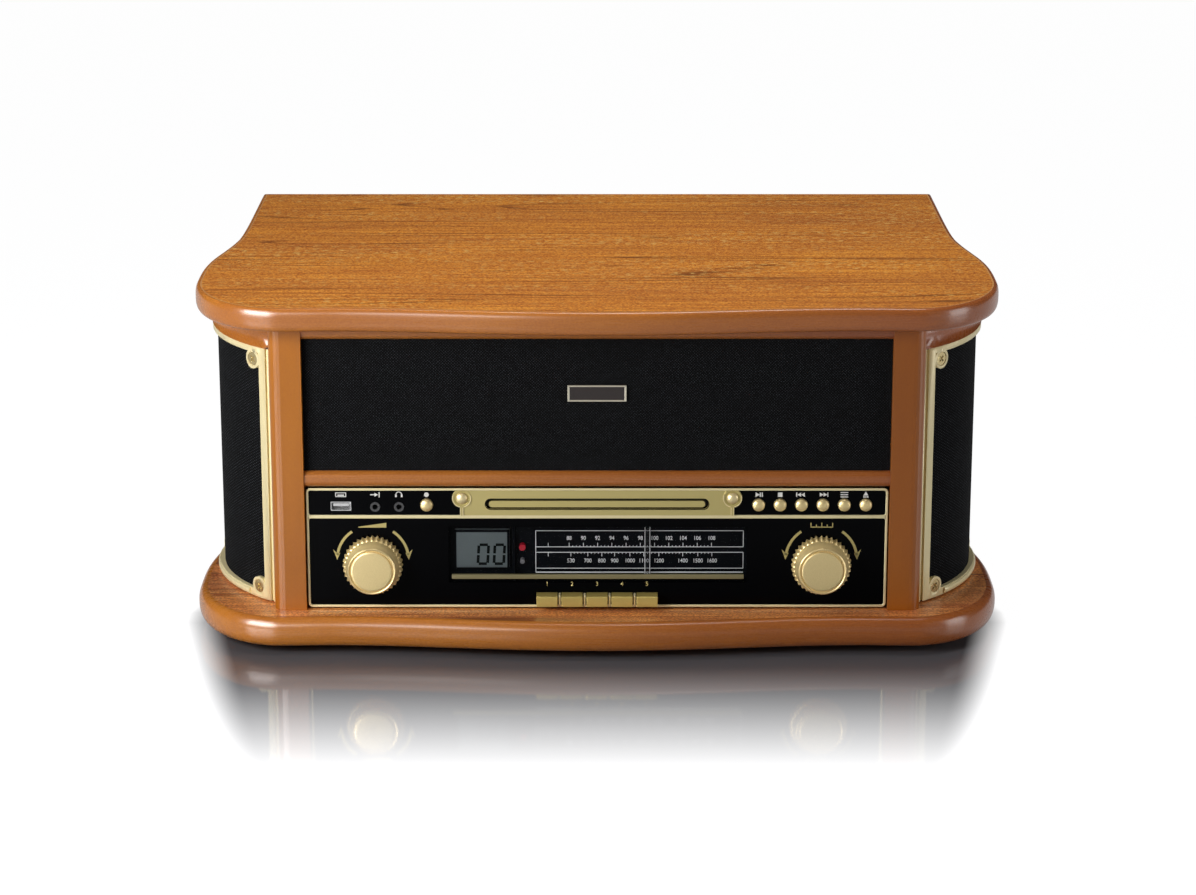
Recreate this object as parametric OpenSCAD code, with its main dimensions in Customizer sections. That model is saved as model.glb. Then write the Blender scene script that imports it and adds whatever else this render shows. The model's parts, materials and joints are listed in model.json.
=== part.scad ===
// Stereo music centre: a wooden cabinet with a serpentine lid and base, cloth grilles at its
// rounded corners, a control fascia, a record deck under the lid, a disc drawer and a tape slot.
// Millimetres, +Z up, +X to the right, the front looks along -Y. The origin is the middle of the
// footprint on the table. Places from front to back are given as distances from the front edge.

/* [Cabinet] */
// Depth over the base board
depth = 350; // [350:1:356]
// Widest width of the lid
lid_w = 520; // [519:1:524]
// Widest width of the base board
base_w = 529; // [527:1:534]
// Height of the closed cabinet on its feet
height = 231; // [230.5:0.5:233]
// Thickness of the lid at its edge
lid_t = 15; // [14:0.5:16]
// Depth of the hollow under the lid
lid_hollow = 9; // [8.5:0.5:10]
// Thickness of the base board
base_t = 19.5; // [18:0.5:20]
// Height of the rubber feet
foot_h = 5.5; // [4:0.5:6]
// Angle that the lid opens to, in degrees
lid_angle = 62; // [50:1:65]

/* [Serpentine outline] */
// How far the middle of the front bows out past the lobes
front_bow = 11; // [9:0.5:12]
// Half width where the rounded corner begins
corner_x = 200; // [196:1:204]
// Distance from the front edge to the widest place
widest_y = 88; // [82:1:92]
// Distance from the front edge to where the outline begins to draw in
shoulder_y = 100; // [92:1:104]
// Half width of the waist behind the corner
waist_x = 245; // [244:0.5:248]
// Distance from the front edge to the waist
waist_y = 205; // [200:1:212]
// Half width at the back edge
back_x = 241.5; // [240:0.5:244]
// How far the lid's rounded edge reaches past its flat top
lid_edge = 3; // [2.5:0.5:5]
// How far the base's rounded edge reaches past its flat top
base_edge = 6; // [5:0.5:7]

/* [Front] */
// Half width of the fascia
fascia_x = 187.5; // [186:0.5:187.5]
// Height of the fascia's top edge above the table
fascia_top = 106.8; // [106:0.2:107]
// Width of a front pillar
pillar_w = 21.2; // [20:0.2:21.2]
// Distance from the front edge to the pillars' faces
pillar_y = 28; // [27:0.5:28]
// Distance from the front edge to the fascia's face
fascia_y = 33; // [33:0.5:33.5]
// Height of the middle rail's top
rail_top = 118.5; // [118:0.5:119]
// Height of the top rail's lower edge
grille_top = 206; // [205:0.5:206.5]

/* [Rounded corners] */
// Half width where the centre of the corner's curve lies
arc_x = 142.5; // [141.5:0.5:142.5]
// Distance from the front edge to the centre of the corner's curve
arc_y = 131; // [129:1:132]
// Radius of the brass frame's face
bezel_r = 111.7; // [111:0.1:112]
// Height of the brass frame's lower edge
bezel_low = 26; // [25.5:0.5:27]
// Height of the brass frame's upper edge
bezel_high = 196.5; // [195:0.5:197]
// Direction in which the corner's curve ends, in degrees past sideways
corner_end = 14; // [12:1:14]

/* [Controls] */
// Largest radius of the two big knobs
knob_r = 19.8; // [18:0.2:20]
// Half distance between the two big knobs
knob_x = 145.1; // [144:0.1:146]
// Height of the knobs' axes
knob_z = 55.2; // [53:0.2:56]
// Number of ridges round a knob
knob_ridges = 36; // [30:2:40]
// Radius of a round button
button_r = 4; // [3.5:0.1:4.2]
// Distance between the round buttons on the right
button_pitch = 13.8; // [13.4:0.1:14]
// Width of a function key
key_w = 13.6; // [13:0.1:14]
// Distance between the function keys
key_pitch = 16.2; // [16:0.1:17]

/* [Record deck] */
// Half width coordinate of the spindle
spindle_x = -45; // [-50:1:-42]
// Radius of the platter
platter_r = 145; // [135:1:146]
// Radius of the belt rim under the platter
belt_rim_r = 75; // [70:1:78]
// Radius of the motor pulley
pulley_r = 6; // [5:0.5:8]
// Distance from the tonearm's pivot to the stylus
arm_reach = 217; // [212:1:218]
// Radius of the tonearm tube
arm_r = 3; // [2.5:0.25:3.5]

/* [Lid stay] */
// Length of the stay arm between its pins
stay_len = 60; // [55:1:62]
// Slope of the stay arm with the lid shut, in degrees
stay_slope = 8; // [7:1:9]

/* [Hidden] */
$fn = 48;

// Colours
honey = [0.72, 0.42, 0.17];
cherry = [0.62, 0.32, 0.14];
gold = [0.79, 0.70, 0.45];
gloss_black = [0.02, 0.02, 0.025];
cloth_black = [0.05, 0.05, 0.06];
steel = [0.70, 0.71, 0.73];
board_green = [0.08, 0.30, 0.16];
rubber_black = [0.06, 0.06, 0.06];

// Heights of the cabinet
base_top = foot_h + base_t;
lid_under = height - lid_t;
wall_top = lid_under - 0.4;
outline_w = 260;

// Side and back walls
side_out = 236;
side_in = 227;
side_front = arc_y;
back_in = depth - 7.5;
back_out = depth - 3;
lid_back = depth - 2.7;

// Lid hinge and stay
hinge_y = depth - 2.7;
hinge_z = lid_under - 0.2;
hinge_xs = [-150, 150];
hinge_w = 40;
knuckle_r = 2.5;
hinge_pin_r = 1;
stay_y = hinge_y - stay_len * cos(stay_slope);
stay_z = hinge_z - stay_len * sin(stay_slope);
stay_end_y = hinge_y - 2 * stay_len * cos(stay_slope);
stay_near = 2 * stay_len * cos(stay_slope + lid_angle);
stay_x0 = 220.3;
stay_x1 = 222.3;
stay_pin_r = 2;
channel_x = [216, 218];

// Corner curve
grille_r = bezel_r - 3;
housing_r = bezel_r + 0.3;
housing_flare = 1.8;
pillar_in = fascia_x + 0.8;
pillar_out = pillar_in + pillar_w;
corner_turn = -24.6;
screw_turns = [-45, corner_end - 4.6];
screw_zs = [bezel_low + 7.6, bezel_high - 8.8];
screw_lobe_r = 6.4;
screw_seat_r = 4.6;
seat_drop = 1.6;
baffle_r = 86;
speaker_z = 105;
frieze_z = bezel_high;
post_turn = 3;

// Fascia
fascia_low = 26;
fascia_back = fascia_y + 3;
trim_w = 1.6;
divider_low = 86.4;
divider_high = 88.7;
strip_z = 95.5;
window_x = [-96, 97];
window_z = [42.5, 80.5];
plate_y = fascia_y + 6.5;
lamp_x = -48.4;
slot_x = 71.8;
slot_z = 96.2;
slot_r = 3.3;
record_x = -109.9;
first_button_x = 104.1;
key_z = [28.6, 35.6];
key_front = 24.5;
jack_xs = [-143.1, -127.7];
jack_z = 94;
jack_bore = 1.8;
usb_x = -165.1;
usb_z = 94.5;
stud_x = 87.2;
stud_z = 100.3;
lobe_r = 6.2;
dome_r = 3.8;

// Record deck
deck_z = 188;
deck_t = 4;
spindle_y = (38 + back_in) / 2;
motor_at = [spindle_x - 75, spindle_y + 78];
mat_top = deck_z + 10.5;
pivot_at = [148, spindle_y + 84.75];
arm_z = mat_top + 10.5;
cue_at = [178, pivot_at[1] - 27];
cue_z = deck_z + 6;
speed_at = [196, 150];

// Disc drawer and tape slot
tray_x = 69.7;
tray_h = 4.3;
tray_back = 178;
tape_y = [222, 328];
tape_z = [75, 91];
tape_key_y = [310, 328];
tape_key_z = [65, 70.6];

// Point on a cubic curve with four control points
function curve(a, b, c, d, t) =
    a * pow(1 - t, 3) + 3 * b * pow(1 - t, 2) * t + 3 * c * (1 - t) * t * t + d * pow(t, 3);

// Right half of the serpentine outline, from the front centre round to the back corner
function half_outline(half_w, back_y) =
    let (lobe_y = front_bow - 1)
    [for (p = concat(
        [for (i = [0 : 6]) curve([0, 0], [70, 0], [110, front_bow], [170, front_bow], i / 6)],
        [for (i = [0 : 11])
            [corner_x + (outline_w - corner_x) * sin(90 * i / 11),
             widest_y - (widest_y - lobe_y) * cos(90 * i / 11)]],
        [for (i = [0 : 8])
            curve([outline_w, shoulder_y], [outline_w, shoulder_y + 50],
                  [waist_x + 6, waist_y - 45], [waist_x, waist_y], i / 8)],
        [for (i = [1 : 3])
            curve([waist_x, waist_y], [waist_x - 2.5, waist_y + 25],
                  [waist_x - 2.5, waist_y + 80], [back_x, back_y], i / 3)]
    )) [p[0] * half_w / outline_w, p[1]]];

// Whole outline, anticlockwise seen from above
function full_outline(half_w, back_y) =
    let (right = half_outline(half_w, back_y), last = len(right) - 1)
    concat(right, [for (i = [last : -1 : 1]) [-right[i][0], right[i][1]]]);

// Outward direction at point i, kept sideways at the two back corners
function outward(ring, i, corner) =
    let (n = len(ring), t = ring[(i + 1) % n] - ring[(i + n - 1) % n])
    i == corner ? [1, 0] : i == corner + 1 ? [-1, 0] : [t[1], -t[0]] / norm(t);

// Children at a place given from the front edge
module at(x, y, z) {
    translate([x, y - depth / 2, z]) children();
}

// The same thing on the right and, mirrored, on the left
module both_sides() {
    children();
    mirror([1, 0, 0]) children();
}

// Block between two places on each axis
module block(xs, ys, zs) {
    at(xs[0], ys[0], zs[0]) cube([xs[1] - xs[0], ys[1] - ys[0], zs[1] - zs[0]]);
}

// Round rods along each axis
module rod_x(xs, y, z, r) {
    at(xs[0], y, z) rotate([0, 90, 0]) cylinder(h = xs[1] - xs[0], r = r);
}
module rod_y(x, ys, z, r) {
    at(x, ys[0], z) rotate([-90, 0, 0]) cylinder(h = ys[1] - ys[0], r = r);
}
module rod_z(x, y, zs, r) {
    at(x, y, zs[0]) cylinder(h = zs[1] - zs[0], r = r);
}

// Bar along X with round ends
module round_bar(half_x, ys, z, r) {
    block([-half_x + r, half_x - r], ys, [z - r, z + r]);
    for (side = [-1, 1]) rod_y(side * (half_x - r), ys, z, r);
}

// Turned shape: points are [radius, distance out of the fascia]
module turned_front(x, z, points) {
    at(x, fascia_y, z) rotate([90, 0, 0]) rotate_extrude() polygon(points);
}

// Board with the serpentine outline and a rounded edge
module serpentine_board(half_w, back_y, z0, t, edge) {
    ring = full_outline(half_w, back_y);
    corner = len(half_outline(half_w, back_y)) - 1;
    n = len(ring);
    steps = 8;
    points = [for (k = [0 : steps]) let (a = -90 + 180 * k / steps)
        for (i = [0 : n - 1])
            let (p = ring[i] - outward(ring, i, corner) * edge * (1 - cos(a)))
            [p[0], p[1] - depth / 2, z0 + t * (1 + sin(a)) / 2]];
    faces = concat(
        [[for (i = [0 : n - 1]) i]],
        [[for (i = [n - 1 : -1 : 0]) steps * n + i]],
        [for (k = [0 : steps - 1]) for (i = [0 : n - 1])
            let (j = (i + 1) % n) [k * n + i, (k + 1) * n + i, (k + 1) * n + j, k * n + j]]
    );
    polyhedron(points = points, faces = faces, convexity = 6);
}

// Shape turned round the right corner's centre between two directions: points are [radius, height]
module corner_turned(points, first, last) {
    at(arc_x, arc_y, 0) rotate([0, 0, first]) rotate_extrude(angle = last - first) polygon(points);
}

// Upright ring sector that starts beside the pillar
module corner_arc(r0, r1, zs, x_min, last = corner_end) {
    difference() {
        corner_turned([[r0, zs[0]], [r1, zs[0]], [r1, zs[1]], [r0, zs[1]]], -60, last);
        block([arc_x - 1, x_min], [0, arc_y], [zs[0] - 1, zs[1] + 1]);
    }
}

// Rod that points away from the corner's centre, r0 to r1 from it
module corner_rod(turn, r0, r1, z, r) {
    at(arc_x, arc_y, z) rotate([0, 0, turn]) translate([r0, 0, 0]) rotate([0, 90, 0])
        cylinder(h = r1 - r0, r = r);
}

// Cabinet

module base_board() {
    color(cherry) serpentine_board(base_w / 2, depth, foot_h, base_t, base_edge);
}

module rubber_feet() {
    color(rubber_black) for (x = [-205, 205]) for (y = [52, depth - 40])
        at(x, y, 0) cylinder(h = foot_h, r1 = 13, r2 = 15);
}

// Wooden side wall with the cleat that the deck rests on
module side_wall() {
    block([side_in, side_out], [side_front, back_in], [base_top, wall_top]);
    block([side_in - 8, side_in], [130, back_in - 4], [deck_z - deck_t - 10, deck_z - deck_t]);
}

module side_panel_left() {
    color(honey) mirror([1, 0, 0]) side_wall();
}

module side_panel_right() {
    color(honey) difference() {
        side_wall();
        block([side_in - 1, side_out + 1], tape_y, tape_z);
        block([side_in - 1, side_out + 1], tape_key_y, tape_key_z);
    }
}

module back_panel() {
    color([0.10, 0.09, 0.08]) difference() {
        block([-side_out, side_out], [back_in, back_out], [base_top, wall_top]);
        block([-112, -8], [back_in - 1, back_out + 1], [44, 84]);
        for (i = [0 : 7]) block([-190 + 8 * i, -186 + 8 * i], [back_in - 1, back_out + 1], [110, 150]);
        for (x = hinge_xs) rod_x([x - hinge_w / 2 - 1, x + hinge_w / 2 + 1], hinge_y, hinge_z, knuckle_r + 0.4);
    }
}

module front_pillars() {
    round_r = 7.5;
    turn_x = pillar_out - round_r;
    turn_y = pillar_y + round_r;
    color(cherry) both_sides() at(0, 0, base_top) linear_extrude(wall_top - base_top)
        polygon(concat(
            [[pillar_in, pillar_y + 22], [pillar_in, pillar_y]],
            [for (a = [-90 : 15 : 0]) [turn_x + round_r * cos(a), turn_y + round_r * sin(a)]],
            [[pillar_out, pillar_y + 22]]
        ));
}

// Flared frieze over each corner grille, its inner flange and the post that closes the corner behind
module corner_housings() {
    inner = housing_r - 10;
    post_turns = [corner_end + 0.2, corner_end + post_turn];
    wall_gap = side_out - arc_x;
    color(cherry) both_sides() {
        difference() {
            union() {
                corner_turned([[inner, frieze_z], [housing_r, frieze_z],
                               [housing_r + housing_flare, wall_top], [inner, wall_top]], -60, corner_end + 1);
                corner_turned([[baffle_r - 2, frieze_z], [inner, frieze_z],
                               [inner, frieze_z + 3], [baffle_r - 2, frieze_z + 3]], -60, 0);
            }
            block([arc_x - 1, pillar_out + 0.1], [0, arc_y], [frieze_z - 1, wall_top + 1]);
        }
        at(arc_x, arc_y, base_top) linear_extrude(wall_top - base_top) polygon([
            [wall_gap, wall_gap * tan(post_turns[0])],
            [bezel_r * cos(post_turns[0]), bezel_r * sin(post_turns[0])],
            [bezel_r * cos(post_turns[1]), bezel_r * sin(post_turns[1])],
            [wall_gap, wall_gap * tan(post_turns[1])]
        ]);
    }
}

// Rail with a rounded front, between the pillars
module front_rail(y0, y1, zs, r) {
    at(-pillar_in, 0, 0) rotate([90, 0, 90]) linear_extrude(2 * pillar_in) polygon(concat(
        [[y1, zs[0]], [y1, zs[1]]],
        [for (a = [90 : 15 : 180]) [y0 + r + r * cos(a), zs[1] - r + r * sin(a)]],
        [for (a = [180 : 15 : 270]) [y0 + r + r * cos(a), zs[0] + r + r * sin(a)]]
    ));
}

module front_rails() {
    color(cherry) {
        front_rail(29.5, 38, [grille_top, wall_top], 3.5);
        front_rail(29, 46, [fascia_top + 1.3, rail_top], 4);
    }
}

module front_grille() {
    color(cloth_black) difference() {
        block([-pillar_in, pillar_in], [fascia_y, fascia_y + 4], [rail_top, grille_top]);
        for (side = [-1, 1])
            block([side * 95 - 75, side * 95 + 75], [fascia_y + 1, fascia_y + 5], [rail_top + 12, grille_top - 12]);
    }
}

module badge_plate() {
    color(gold) difference() {
        block([-18.8, 18.8], [fascia_y - 1.6, fascia_y], [164.8, 175.7]);
        block([-17.6, 17.6], [fascia_y - 2, fascia_y - 1.1], [166, 174.5]);
    }
}

module corner_grilles() {
    color(cloth_black) both_sides()
        corner_arc(grille_r - 3, grille_r, [base_top, frieze_z], pillar_out + 0.3);
}

// Brass frames with a groove beside the pillar, a half-round ridge along the foot, and a round lobe
// with a sunk seat for each screw
module corner_bezels() {
    rib_low = bezel_low + 5;
    ridge = [for (a = [-90 : 30 : 90]) [bezel_r + 1.5 * cos(a), bezel_low + 2.4 + 2.2 * sin(a)]];
    color(gold) both_sides() difference() {
        union() {
            corner_arc(grille_r, bezel_r, [bezel_low, bezel_high], pillar_out + 0.3);
            corner_turned(concat([[grille_r + 1, bezel_low + 0.2]], ridge, [[grille_r + 1, bezel_low + 4.6]]),
                          -40.4, corner_end);
        }
        difference() {
            corner_arc(grille_r - 1, bezel_r + 3, [rib_low, bezel_high - 4], pillar_out + 7.6, corner_end - 3.4);
            for (turn = screw_turns) for (z = screw_zs)
                corner_rod(turn, grille_r - 2, bezel_r + 4, z, screw_lobe_r);
        }
        difference() {
            corner_arc(bezel_r - 1.5, bezel_r + 1, [bezel_low - 1, bezel_high + 1], pillar_out + 1.3);
            corner_arc(bezel_r - 2, bezel_r + 2, [bezel_low - 2, bezel_high + 2], pillar_out + 3.1);
        }
        for (turn = screw_turns) for (z = screw_zs) {
            corner_rod(turn, bezel_r - seat_drop, bezel_r + 4, z, screw_seat_r);
            corner_rod(turn, grille_r - 1, bezel_r, z, 1.5);
        }
    }
}

// Countersunk screws with a cross recess, sunk in the lobes' seats
module bezel_screws() {
    seat = bezel_r - seat_drop;
    head = seat + 1.2;
    color(gold) both_sides() for (turn = screw_turns) for (z = screw_zs) difference() {
        union() {
            corner_rod(turn, grille_r + 0.1, seat, z, 1.4);
            corner_rod(turn, seat, head, z, screw_seat_r - 0.4);
        }
        at(arc_x, arc_y, z) rotate([0, 0, turn]) for (tilt = [45, -45])
            translate([head, 0, 0]) rotate([tilt, 0, 0]) cube([1.6, 5, 1.1], center = true);
    }
}

// Loudspeakers

module speaker_frames() {
    color([0.25, 0.22, 0.18]) both_sides() at(arc_x, arc_y, 0) rotate([0, 0, corner_turn]) {
        difference() {
            translate([baffle_r, -36, base_top]) cube([4, 72, frieze_z - base_top]);
            translate([baffle_r - 1, 0, speaker_z]) rotate([0, 90, 0]) cylinder(h = 6, r = 31);
        }
    }
    color(steel) both_sides() at(arc_x, arc_y, speaker_z) rotate([0, 0, corner_turn]) rotate([0, 90, 0])
        rotate_extrude() polygon([
            [0, baffle_r - 40], [20, baffle_r - 40], [20, baffle_r - 28], [16, baffle_r - 28],
            [30.6, baffle_r], [30.6, baffle_r + 4], [34, baffle_r + 4], [34, baffle_r + 5.5],
            [29, baffle_r + 5.5], [29, baffle_r], [15, baffle_r - 26], [0, baffle_r - 26]
        ]);
}

module speaker_cones() {
    color([0.12, 0.12, 0.13]) both_sides() at(arc_x, arc_y, speaker_z) rotate([0, 0, corner_turn])
        rotate([0, 90, 0]) rotate_extrude() polygon([
            [0, baffle_r - 16], [8, baffle_r - 17], [27, baffle_r + 1], [28.6, baffle_r + 1],
            [28.6, baffle_r + 2.6], [26, baffle_r + 3], [8, baffle_r - 13], [0, baffle_r - 10]
        ]);
}

// Fascia

module fascia_panel() {
    color(gloss_black) difference() {
        block([-fascia_x, fascia_x], [fascia_y, fascia_back], [fascia_low, fascia_top]);
        block(window_x, [fascia_y - 1, fascia_back + 1], window_z);
        round_bar(slot_x, [fascia_y - 1, fascia_back + 1], slot_z, slot_r);
        block([usb_x - 6.7, usb_x + 6.7], [fascia_y - 1, fascia_back + 1], [usb_z - 3.2, usb_z + 3.2]);
        for (x = jack_xs) rod_y(x, [fascia_y - 1, fascia_back + 1], jack_z, 3.3);
        for (x = button_xs()) rod_y(x, [fascia_y - 1, fascia_back + 1], strip_z, button_r + 0.3);
        for (side = [-1, 1]) rod_y(side * knob_x, [fascia_y - 1, fascia_back + 1], knob_z, 5);
        for (i = [-2 : 2])
            block([i * key_pitch - key_w / 2 - 0.3, i * key_pitch + key_w / 2 + 0.3],
                  [fascia_y - 1, fascia_back + 1], [key_z[0] - 0.3, key_z[1] + 0.3]);
    }
}

// Places of the seven round buttons
function button_xs() = concat([record_x], [for (i = [0 : 5]) first_button_x + i * button_pitch]);

// Gold frame with rounded corners, divider, ledge under the dial and ribs between the keys
module fascia_trim() {
    out_y = fascia_y - 1.2;
    corner = 3;
    color(gold) {
        difference() {
            rounded_plate(fascia_x, [out_y, fascia_y], [fascia_low, fascia_top], corner);
            rounded_plate(fascia_x - trim_w, [out_y - 1, fascia_y + 1],
                          [fascia_low + trim_w, divider_low], corner - trim_w);
            rounded_plate(fascia_x - trim_w, [out_y - 1, fascia_y + 1],
                          [divider_high, fascia_top - trim_w], corner - trim_w);
        }
        block([-94, 95], [fascia_y - 2.2, fascia_y], [45.6, 48.6]);
        for (i = [-1.5 : 1 : 1.5])
            block([i * key_pitch - 0.6, i * key_pitch + 0.6], [key_front + 2, fascia_y], key_z);
    }
}

// Upright plate, rounded at its four corners
module rounded_plate(half_x, ys, zs, r) {
    block([-half_x + r, half_x - r], ys, zs);
    block([-half_x, half_x], ys, [zs[0] + r, zs[1] - r]);
    for (side = [-1, 1]) for (z = [zs[0] + r, zs[1] - r]) rod_y(side * (half_x - r), ys, z, r);
}

module disc_surround() {
    plate_z = [divider_high, fascia_top - trim_w];
    color(gold) {
        difference() {
            union() {
                block([-stud_x, stud_x], [fascia_y - 1.4, fascia_y], plate_z);
                for (side = [-1, 1]) {
                    rod_y(side * stud_x, [fascia_y - 1.9, fascia_y], stud_z, lobe_r);
                    block([side * stud_x - 1.1, side * stud_x + 1.1], [fascia_y - 1.9, fascia_y],
                          [divider_high, stud_z]);
                }
            }
            block([-stud_x - lobe_r, stud_x + lobe_r], [fascia_y - 3, fascia_y + 1],
                  [plate_z[1], plate_z[1] + lobe_r]);
            round_bar(slot_x, [fascia_y - 3, fascia_y + 1], slot_z, slot_r);
            for (side = [-1, 1]) difference() {
                rod_y(side * stud_x, [fascia_y - 3, fascia_y - 1.2], stud_z, dome_r + 1);
                rod_y(side * stud_x, [fascia_y - 4, fascia_y], stud_z, dome_r);
            }
        }
        for (side = [-1, 1])
            turned_front(side * stud_x, stud_z, concat(
                [[0, 1]], [for (a = [0 : 15 : 90]) [dome_r * cos(a), 1.9 + 2.2 * sin(a)]]));
    }
}

module lcd_display() {
    color([0.40, 0.47, 0.52]) {
        block([-90.8, -57.9], [fascia_back, fascia_back + 2], [52.4, 76.4]);
        block([-92, -56.7], [fascia_back + 2, fascia_back + 3.4], [51.2, 77.6]);
    }
}

// Black plate behind the window, with its side flanges and the rod that the pointer runs on
module dial_backplate() {
    color([0.03, 0.03, 0.035]) {
        block([-98, 101], [plate_y, plate_y + 1.5], [38, 80.5]);
        for (x = [-98, 99.4]) block([x, x + 1.6], [fascia_back, plate_y], [38, 80.5]);
        block([-55, -53.4], [fascia_back, plate_y], [38, 80.5]);
    }
    color(steel) rod_x([-53.4, 99.4], 37.8, 40.4, 0.8);
}

module dial_window() {
    color([0.75, 0.80, 0.85, 0.35]) block(window_x, [fascia_y, fascia_y + 1.8], window_z);
}

// Red and clear lamps behind the window
module indicator_lamps() {
    color([0.8, 0.05, 0.08]) rod_y(lamp_x, [fascia_y + 1.9, plate_y], 65.7, 2.1);
    color([0.35, 0.36, 0.38]) rod_y(lamp_x, [fascia_y + 1.9, plate_y], 56.2, 1.5);
}

// Data socket and the two round jack sockets
module front_sockets() {
    color(steel) difference() {
        block([usb_x - 6.55, usb_x + 6.55], [fascia_y - 0.2, 46], [usb_z - 3, usb_z + 3]);
        block([usb_x - 6.1, usb_x + 6.1], [fascia_y - 1, 44], [usb_z - 2.5, usb_z + 2.5]);
    }
    color([0.9, 0.9, 0.88]) block([usb_x - 5, usb_x + 5], [fascia_y + 1, 44], [usb_z - 0.2, usb_z + 1.6]);
    color([0.15, 0.15, 0.16]) for (x = jack_xs) difference() {
        rod_y(x, [fascia_y - 0.4, 47.6], jack_z, 3.2);
        rod_y(x, [fascia_y - 1, fascia_y + 12.6], jack_z, jack_bore);
    }
}

// Record deck

module turntable_deck() {
    half = [[0, 38.5], [187, 38.5], [187, 51], [198, 51], [225, 109], [side_in - 0.3, 112], [side_in - 0.3, back_in - 0.3]];
    outline = concat(half, [for (i = [len(half) - 1 : -1 : 1]) [-half[i][0], half[i][1]]]);
    color([0.13, 0.12, 0.12]) difference() {
        union() {
            at(0, 0, deck_z - deck_t) linear_extrude(deck_t) polygon(outline);
            rod_z(spindle_x, spindle_y, [deck_z - 20, deck_z - deck_t], 9);
        }
        rod_z(spindle_x, spindle_y, [deck_z - 1.5, deck_z + 1], 149);
        rod_z(spindle_x, spindle_y, [deck_z - 21, deck_z], 3.55);
        rod_z(motor_at[0], motor_at[1], [deck_z - deck_t - 1, deck_z], 7);
        rod_z(pivot_at[0], pivot_at[1], [deck_z - deck_t - 1, deck_z + 1], 4.05);
        block([speed_at[0] - 1.4, speed_at[0] + 1.4], [speed_at[1] - 11, speed_at[1] + 11],
              [deck_z - deck_t - 1, deck_z + 1]);
    }
}

// Arm base, rest post with its outer lip, and the ears that hold the cue lever
module arm_base() {
    rest_y = pivot_at[1] - 150;
    color([0.20, 0.20, 0.21]) {
        difference() {
            rod_z(pivot_at[0], pivot_at[1], [deck_z, deck_z + 6], 20);
            rod_z(pivot_at[0], pivot_at[1], [deck_z - 1, deck_z + 7], 4.05);
        }
        rod_z(pivot_at[0], rest_y, [deck_z, arm_z - arm_r - 3], 4.5);
        block([pivot_at[0] - 7, pivot_at[0] + 7], [rest_y - 3, rest_y + 3],
              [arm_z - arm_r - 3, arm_z - arm_r - 0.3]);
        block([pivot_at[0] + 4, pivot_at[0] + 7], [rest_y - 3, rest_y + 3],
              [arm_z - arm_r - 0.3, arm_z + 2]);
        for (side = [-1, 1])
            block([cue_at[0] + side * 5 - 1, cue_at[0] + side * 5 + 1], [cue_at[1] - 4, cue_at[1] + 4],
                  [deck_z, cue_z + 3]);
        rod_x([cue_at[0] - 4, cue_at[0] + 4], cue_at[1], cue_z, 1.2);
    }
}

// Motor can under the deck and the flat belt round its pulley and the platter's rim
module belt_drive() {
    span = motor_at - [spindle_x, spindle_y];
    color(steel) difference() {
        rod_z(motor_at[0], motor_at[1], [deck_z - 36, deck_z - deck_t], 18);
        rod_z(motor_at[0], motor_at[1], [deck_z - 20, deck_z], 1.05);
    }
    color(rubber_black) at(spindle_x, spindle_y, deck_z + 0.6) linear_extrude(2.4) difference() {
        hull() {
            circle(r = belt_rim_r + 1, $fn = 96);
            translate(span) circle(r = pulley_r + 1);
        }
        hull() {
            circle(r = belt_rim_r + 0.4, $fn = 96);
            translate(span) circle(r = pulley_r + 0.4);
        }
    }
}

module platter() {
    color([0.30, 0.30, 0.31]) at(spindle_x, spindle_y, deck_z) rotate_extrude($fn = 96) polygon([
        [0, -18], [3.5, -18], [3.5, 1], [12, 1], [12, 4], [belt_rim_r - 3, 4],
        [belt_rim_r - 3, 0.3], [belt_rim_r, 0.3], [belt_rim_r, 4], [platter_r - 3, 4],
        [platter_r - 3, 0.8], [platter_r, 0.8], [platter_r, 7], [platter_r - 1, 8],
        [3.6, 8], [3.6, 17.5], [2.6, 19], [0, 19]
    ]);
}

module platter_mat() {
    color(rubber_black) at(spindle_x, spindle_y, deck_z + 8) rotate_extrude($fn = 96) polygon(concat(
        [[3.7, 0], [3.7, 2.2], [48, 2.2], [48, 1.4], [51, 1.4], [51, 2.5]],
        [for (i = [0 : 7]) for (step = [0, 1]) [60 + 10 * i + 6 * step, step == 0 ? 2.5 : 2.2]],
        [[platter_r - 3, 2.5], [platter_r - 2, 1.5], [platter_r - 2, 0]]
    ));
}

module motor_pulley() {
    color([0.72, 0.58, 0.30]) at(motor_at[0], motor_at[1], deck_z) rotate_extrude() polygon([
        [0, -19], [1, -19], [1, 0.2], [pulley_r + 0.8, 0.2], [pulley_r + 0.8, 0.5], [pulley_r, 0.5],
        [pulley_r, 3.1], [pulley_r + 0.8, 3.1], [pulley_r + 0.8, 3.5], [0, 3.5]
    ]);
}

// Turret that swings on the arm base and carries the arm's level pivot pin
module arm_gimbal() {
    color(steel) {
        rod_z(pivot_at[0], pivot_at[1], [deck_z - deck_t, deck_z + 6.3], 4);
        rod_z(pivot_at[0], pivot_at[1], [deck_z + 6.3, deck_z + 10], 15);
        for (side = [-1, 1])
            block([pivot_at[0] + side * 9.5 - 1.5, pivot_at[0] + side * 9.5 + 1.5],
                  [pivot_at[1] - 6, pivot_at[1] + 6], [deck_z + 10, arm_z + 4]);
        rod_x([pivot_at[0] - 8, pivot_at[0] + 8], pivot_at[1], arm_z, 1.2);
    }
}

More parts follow.
